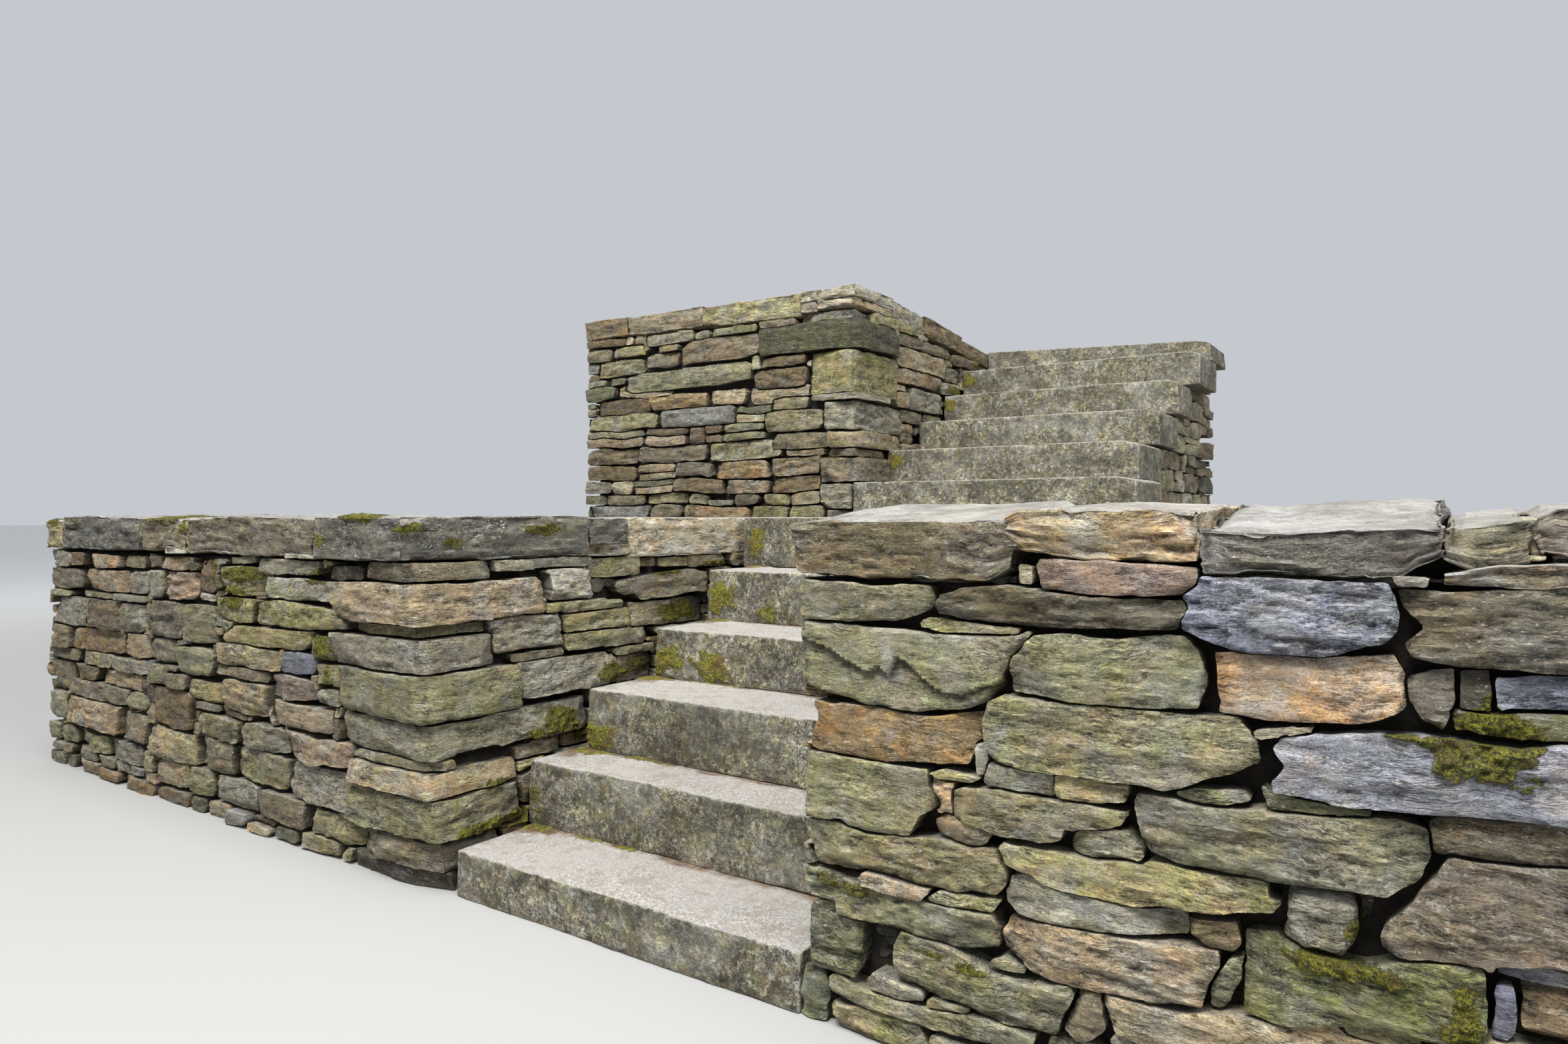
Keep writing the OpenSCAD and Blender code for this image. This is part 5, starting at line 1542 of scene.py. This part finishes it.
def cap(so, x0, x1, zb, zt, col, rise=30.0, y0=Y0, y1=Y1, r=11.0, cell=(8.0, 34.0, 7.2), amp=1.0, top=1.0, lt=22.0, s0=0.0, s1=0.0, front=None, moss=None, trait=None, rgb=None, ragged=5.0):
    zz = [p[1] for p in zt] if not np.isscalar(zt) else [zt]
    bb = [p[1] for p in zb] if not np.isscalar(zb) else [zb]
    L = (x1 - x0, y1 - y0, max(zz) - min(bb))
    slab(so, L, min(r * 0.62, L[2] * 0.3), cell, hexa(x0, x1, y0, y1, zb, zt, L, back_rise=rise, front=front, slant0=s0, slant1=s1, ragged=min(ragged, L[2] * 0.08), seed=rnd.randrange(9999)), rnd, col,
         schist_disp(amp, top, lt), moss=moss, trait=trait, rgb=rgb)


cap(so, 1215, 1752, [(1215, 1040), (1240, 1012), (1500, 1006), (1700, 1012), (1750, 1040)], [(1215, 1130), (1300, 1137), (1700, 1140), (1752, 1128)], "gb", 38, s1=-26, r=11, rgb=lin((109, 99, 78)))
cap(so, 1728, 2096, [(1728, 1100), (1760, 1078), (1820, 1064), (2000, 1062), (2096, 1064)], [(1728, 1140), (1760, 1156), (1900, 1162), (2096, 1156)], "tn", 16, s0=10, r=12, lt=12.0, trait=(0.75, 0.1, 0.4))
cap(so, 2100, 2456, [(2100, 1040), (2260, 1040), (2400, 1042), (2420, 1060), (2456, 1080)], [(2100, 1122), (2200, 1118), (2456, 1128)], "sl", 50, s0=12, r=7, lt=15.0, trait=(0.2, 0.35, 0.3))
cap(so, 2458, 2566, [(2458, 1072), (2500, 1056), (2530, 1060), (2566, 1074)], [(2458, 1128), (2500, 1134), (2566, 1140)], "gb", 22, r=14, s0=-16)
cap(so, 2574, 2766, [(2574, 1082), (2766, 1078)], [(2574, 1140), (2600, 1158), (2766, 1160)], "pu", 10, r=14)
cap(so, 2772, X1, [(2772, 1060), (X1, 1052)], [(2772, 1150), (X1, 1148)], "gb", 14, r=13)
cap(so, 2554, 2590, 1078, 1140, "bs", 6, y0=-2592, y1=-2470, r=10, ragged=2.0)
cap(so, 2592, 2700, 1062, 1084, "gb", 0, y0=-2580, r=6, ragged=2.0)
# thin stones bedded under the caps
cap(so, 1500, 1742, [(1500, 1004), (1742, 1006)], [(1500, 1012), (1742, 1024)], "dg", 0, y0=-2570, r=5)
cap(so, 2455, 2772, [(2455, 1036), (2500, 1032), (2772, 1040)], [(2455, 1052), (2530, 1070), (2772, 1076)], "gb", 0, y0=-2606, r=6, lt=11)
cap(so, 2100, 2460, 1034, 1042, "gy", 0, y0=-2560, r=3)
so.build("right_wall_caps", CAP, "cap_stone", ["lower_right_front_caps"])

so = Soup()
for (a, b, c) in ((-2142, -1462, "gb"), (-1454, -760, "gy")):
    L = (450.0, b - a, 135.0)
    slab(so, L, 9.0, (30.0, 22.0, 18.0), hexa(XR, XR + 450, a, b, 1017.0, 1150.0, L, ragged=5.0, seed=int(-a)), rnd, c, schist_disp(0.8, 1.0))
so.build("right_cheek_caps", CAP, "cap_stone", ["lower_right_cheek_caps"])

# ---------------------------------------------------------------- caps of the lower left wall
so = Soup()
rnd = random.Random(221)
YL = -2646
cell = (12.5, 34.0, 9.5)
mossy = moss_field([(-1790, -2600, 1140, 150, 160, 34, 1.0), (-1620, -2637, 1110, 40, 40, 40, 1.0), (-1500, -2560, 1150, 110, 80, 16, 0.8), (-2600, -2620, 1120, 60, 60, 40, 0.6),
                    (-1300, -2500, 1152, 160, 60, 14, 0.5)])
cap(so, X0, -2772, 1000, 1128, "ol", 14, YL, YL + 450, cell=cell, r=12, moss=moss_field([(-2860, -2600, 1130, 80, 100, 30, 0.9)]))
cap(so, -2768, -1988, [(-2768, 1004), (-2300, 1002), (-1988, 1010)], [(-2768, 1146), (-2400, 1152), (-1988, 1140)], "sl", 6, YL, YL + 450, cell=cell, r=12, moss=mossy, trait=(0.1, 0.3, 0.9))
cap(so, -1984, -1596, [(-1984, 1002), (-1700, 1030), (-1596, 1010)], [(-1984, 1130), (-1800, 1140), (-1596, 1134)], "gb", 14, YL, YL + 450, cell=cell, r=12, moss=mossy)
cap(so, -1590, -708, [(-1590, 1004), (-1400, 1016), (-1100, 1002), (-708, 1006)], [(-1590, 1134), (-1300, 1148), (-1000, 1146), (-708, 1140)], "gb", 8, YL, YL + 450, cell=cell, r=12, moss=mossy, rgb=lin((102, 95, 82)),
    trait=(0.45, 0.45, 0.6))
cap(so, -860, -690, 1002, 1016, "gy", 0, YL - 4, YL + 300, cell=cell, r=4)
cap(so, -1760, -1600, 1001, 1028, "lg", 0, YL - 2, YL + 300, cell=cell, r=6)
so.build("lower_left_front_cap_stones", CAP, "cap_stone", ["lower_left_front_caps"])


def quad_place(c00, c10, c11, c01, z0, z1, L, rise=0.0, zt=None):
    """a slab on a plan quad: corners front left, front right, back right, back left"""
    c = [np.array(p, float) for p in (c00, c10, c11, c01)]

    def f(P):
        tx, ty, tz = P[:, 0] / L[0], P[:, 1] / L[1], P[:, 2] / L[2]
        a = (1 - tx)[:, None] * c[0] + tx[:, None] * c[1]
        b = (1 - tx)[:, None] * c[3] + tx[:, None] * c[2]
        xy = (1 - ty)[:, None] * a + ty[:, None] * b
        top = z1 + rise * ty
        if zt is not None:
            top = top + zt(xy[:, 0], xy[:, 1])
        return np.stack([xy[:, 0], xy[:, 1], z0 + tz * (top - z0)], -1)
    return f


so = Soup()
L = (500.0, 700.0, 146.0)
slab(so, L, 9.0, (12.0, 12.0, 9.5),
     quad_place((-702, YL), (-212, YL), (-108, -1940), (-650, -1945), 1002, 1148, L), rnd, "sl", schist_disp(1.0, 1.2, 26.0), trait=(0.15, 0.55, 1.0),
     moss=moss_field([(-230, -2600, 1110, 60, 50, 30, 0.8), (-420, -2637, 1145, 140, 60, 20, 0.9), (-660, -2637, 1060, 30, 40, 40, 0.9), (-150, -2120, 1100, 60, 90, 24, 0.7),
                      (-180, -2480, 1060, 40, 50, 26, 0.6)]))
so.build("lower_left_corner_cap_stone", CAP, "cap_stone", ["lower_left_corner_cap"])

so = Soup()
L = (540.0, 180.0, 110.0)
slab(so, L, 7.0, (26.0, 11.0, 10.0),
     quad_place((-640, -1936), (-112, -1932), (-96, -1752), (-640, -1750), 1040, 1142, L), rnd, "sl", schist_disp(1.0, 1.0, 20.0), trait=(0.15, 0.5, 0.9))
L = (540.0, 230.0, 38.0)
slab(so, L, 5.0, (26.0, 12.0, 10.0),
     quad_place((-640, -1945), (-120, -1940), (-92, -1712), (-640, -1710), 1003, 1040, L), rnd, "gb", schist_disp(0.8, 1.0, 12.0))
L = (560.0, 985.0, 150.0)
slab(so, L, 7.0, (28.0, 12.0, 10.0),
     quad_place((-640, -1745), (-98, -1745), (-42, -762), (-640, -762), 990, 1143, L), rnd, "bs", schist_disp(0.55, 0.8, 30.0), trait=(0.35, 0.12, 0.35))
so.build("lower_left_cheek_cap_stones", CAP, "cap_stone", ["lower_left_cheek_cap"])

# ---------------------------------------------------------------- caps of the upper left wall
so = Soup()
rnd = random.Random(241)
YU = 207
cell = (18.0, 40.0, 14.0)
cap(so, -2330, -1947, 2335, 2462, "br", 10, YU, YU + 450, cell=cell, r=13)
cap(so, -1940, -1319, [(-1940, 2330), (-1319, 2322)], [(-1940, 2450), (-1319, 2455)], "gb", 0, YU, YU + 450, cell=cell, r=14)
cap(so, -1313, -592, [(-1313, 2318), (-900, 2306), (-592, 2300)], [(-1313, 2444), (-592, 2436)], "ol", 8, YU, YU + 450, cell=cell, r=14)
cap(so, -590, -232, 2376, 2442, "gy", 12, YU - 4, YU + 470, cell=cell, r=10)
cap(so, -584, -486, 2314, 2374, "pu", 0, YU - 2, YU + 440, cell=cell, r=9)
cap(so, -484, -236, 2327, 2374, "tn", 0, YU - 8, YU + 440, cell=cell, r=8)
so.build("upper_left_front_cap_stones", CAP, "cap_stone", ["upper_left_front_caps"])

so = Soup()
for (a, b, t, c) in ((662, 1108, 108, "gy"), (1112, 1700, 122, "br"), (1706, 2166, 96, "br"), (2172, 2637, 118, "gb")):
    L = (450.0, b - a, t)

    def place(P, a=a, b=b, t=t, L=L):
        y = a + P[:, 1] / L[1] * (b - a)
        z0 = 2335 - 150 * np.clip((y - 657) / 1980.0, 0, 1)
        return np.stack([-692 + P[:, 0] / L[0] * 450, y, z0 + P[:, 2] / L[2] * t], -1)
    slab(so, L, 9.0, (34.0, 19.0, 14.0), place, rnd, c, schist_disp(1.1, 1.0))
so.build("upper_left_side_cap_stones", CAP, "cap_stone", ["upper_left_side_caps"])

# ---------------------------------------------------------------- floor, light and camera
def floor():
    me = bpy.data.meshes.new("floor")
    s = 180.0
    me.from_pydata([(-s, -s, 0), (s, -s, 0), (s, s, 0), (-s, s, 0)], [], [(0, 1, 2, 3)])
    ob = bpy.data.objects.new("floor", me)
    bpy.context.scene.collection.objects.link(ob)
    N = Nodes("floor_paint")
    tc = N.t.nodes.new("ShaderNodeTexCoord")
    far = N.t.nodes.new("ShaderNodeVectorMath")
    far.operation = "LENGTH"
    N.link(tc.outputs["Object"], far.inputs[0])
    N.link(N.mix(N.step(far.outputs["Value"], 4.5, 16.0), (0.27, 0.27, 0.265), (0.80, 0.80, 0.79)), N.p.inputs["Base Color"])
    N.p.inputs["Roughness"].default_value = 0.9
    me.materials.append(N.m)


floor()

world = bpy.data.worlds.new("studio")
bpy.context.scene.world = world
world.use_nodes = True
bg = world.node_tree.nodes["Background"]
bg.inputs[0].default_value = (0.90, 0.94, 1.0, 1)
bg.inputs[1].default_value = 0.62


def area(name, loc, aim, size, power, colour):
    d = bpy.data.lights.new(name, "AREA")
    d.shape, d.size, d.size_y, d.energy, d.color = "RECTANGLE", size[0], size[1], power, colour
    o = bpy.data.objects.new(name, d)
    bpy.context.scene.collection.objects.link(o)
    o.location = loc
    v = np.array(aim, float) - np.array(loc, float)
    from mathutils import Vector
    o.rotation_mode = "QUATERNION"
    o.rotation_quaternion = Vector(v).to_track_quat("-Z", "Y")


area("key", (1.4, -8.0, 10.6), (0.3, -1.2, 1.0), (4.5, 4.0), 1900, (1.0, 0.985, 0.95))
area("fill", (8.6, -3.2, 6.6), (0.3, -1.0, 0.8), (5.0, 4.0), 680, (0.97, 0.98, 1.0))
area("top", (0.5, -4.2, 8.6), (0.5, -2.2, 0.8), (9.0, 6.0), 900, (1.0, 0.99, 0.98))

cam_data = bpy.data.cameras.new("camera")
cam = bpy.data.objects.new("camera", cam_data)
bpy.context.scene.collection.objects.link(cam)
bpy.context.scene.camera = cam
cam_data.sensor_width = 36.0
cam_data.lens = 36.0 * 1450.0 / 2355.0
cam_data.clip_start, cam_data.clip_end = 0.05, 600
cam.location = (2.45, -4.45, 1.141)
cam.rotation_euler = (math.radians(90 - 0.24), 0, math.radians(34.15))
bpy.context.scene.view_settings.view_transform = "Standard"

bpy.context.view_layer.update()
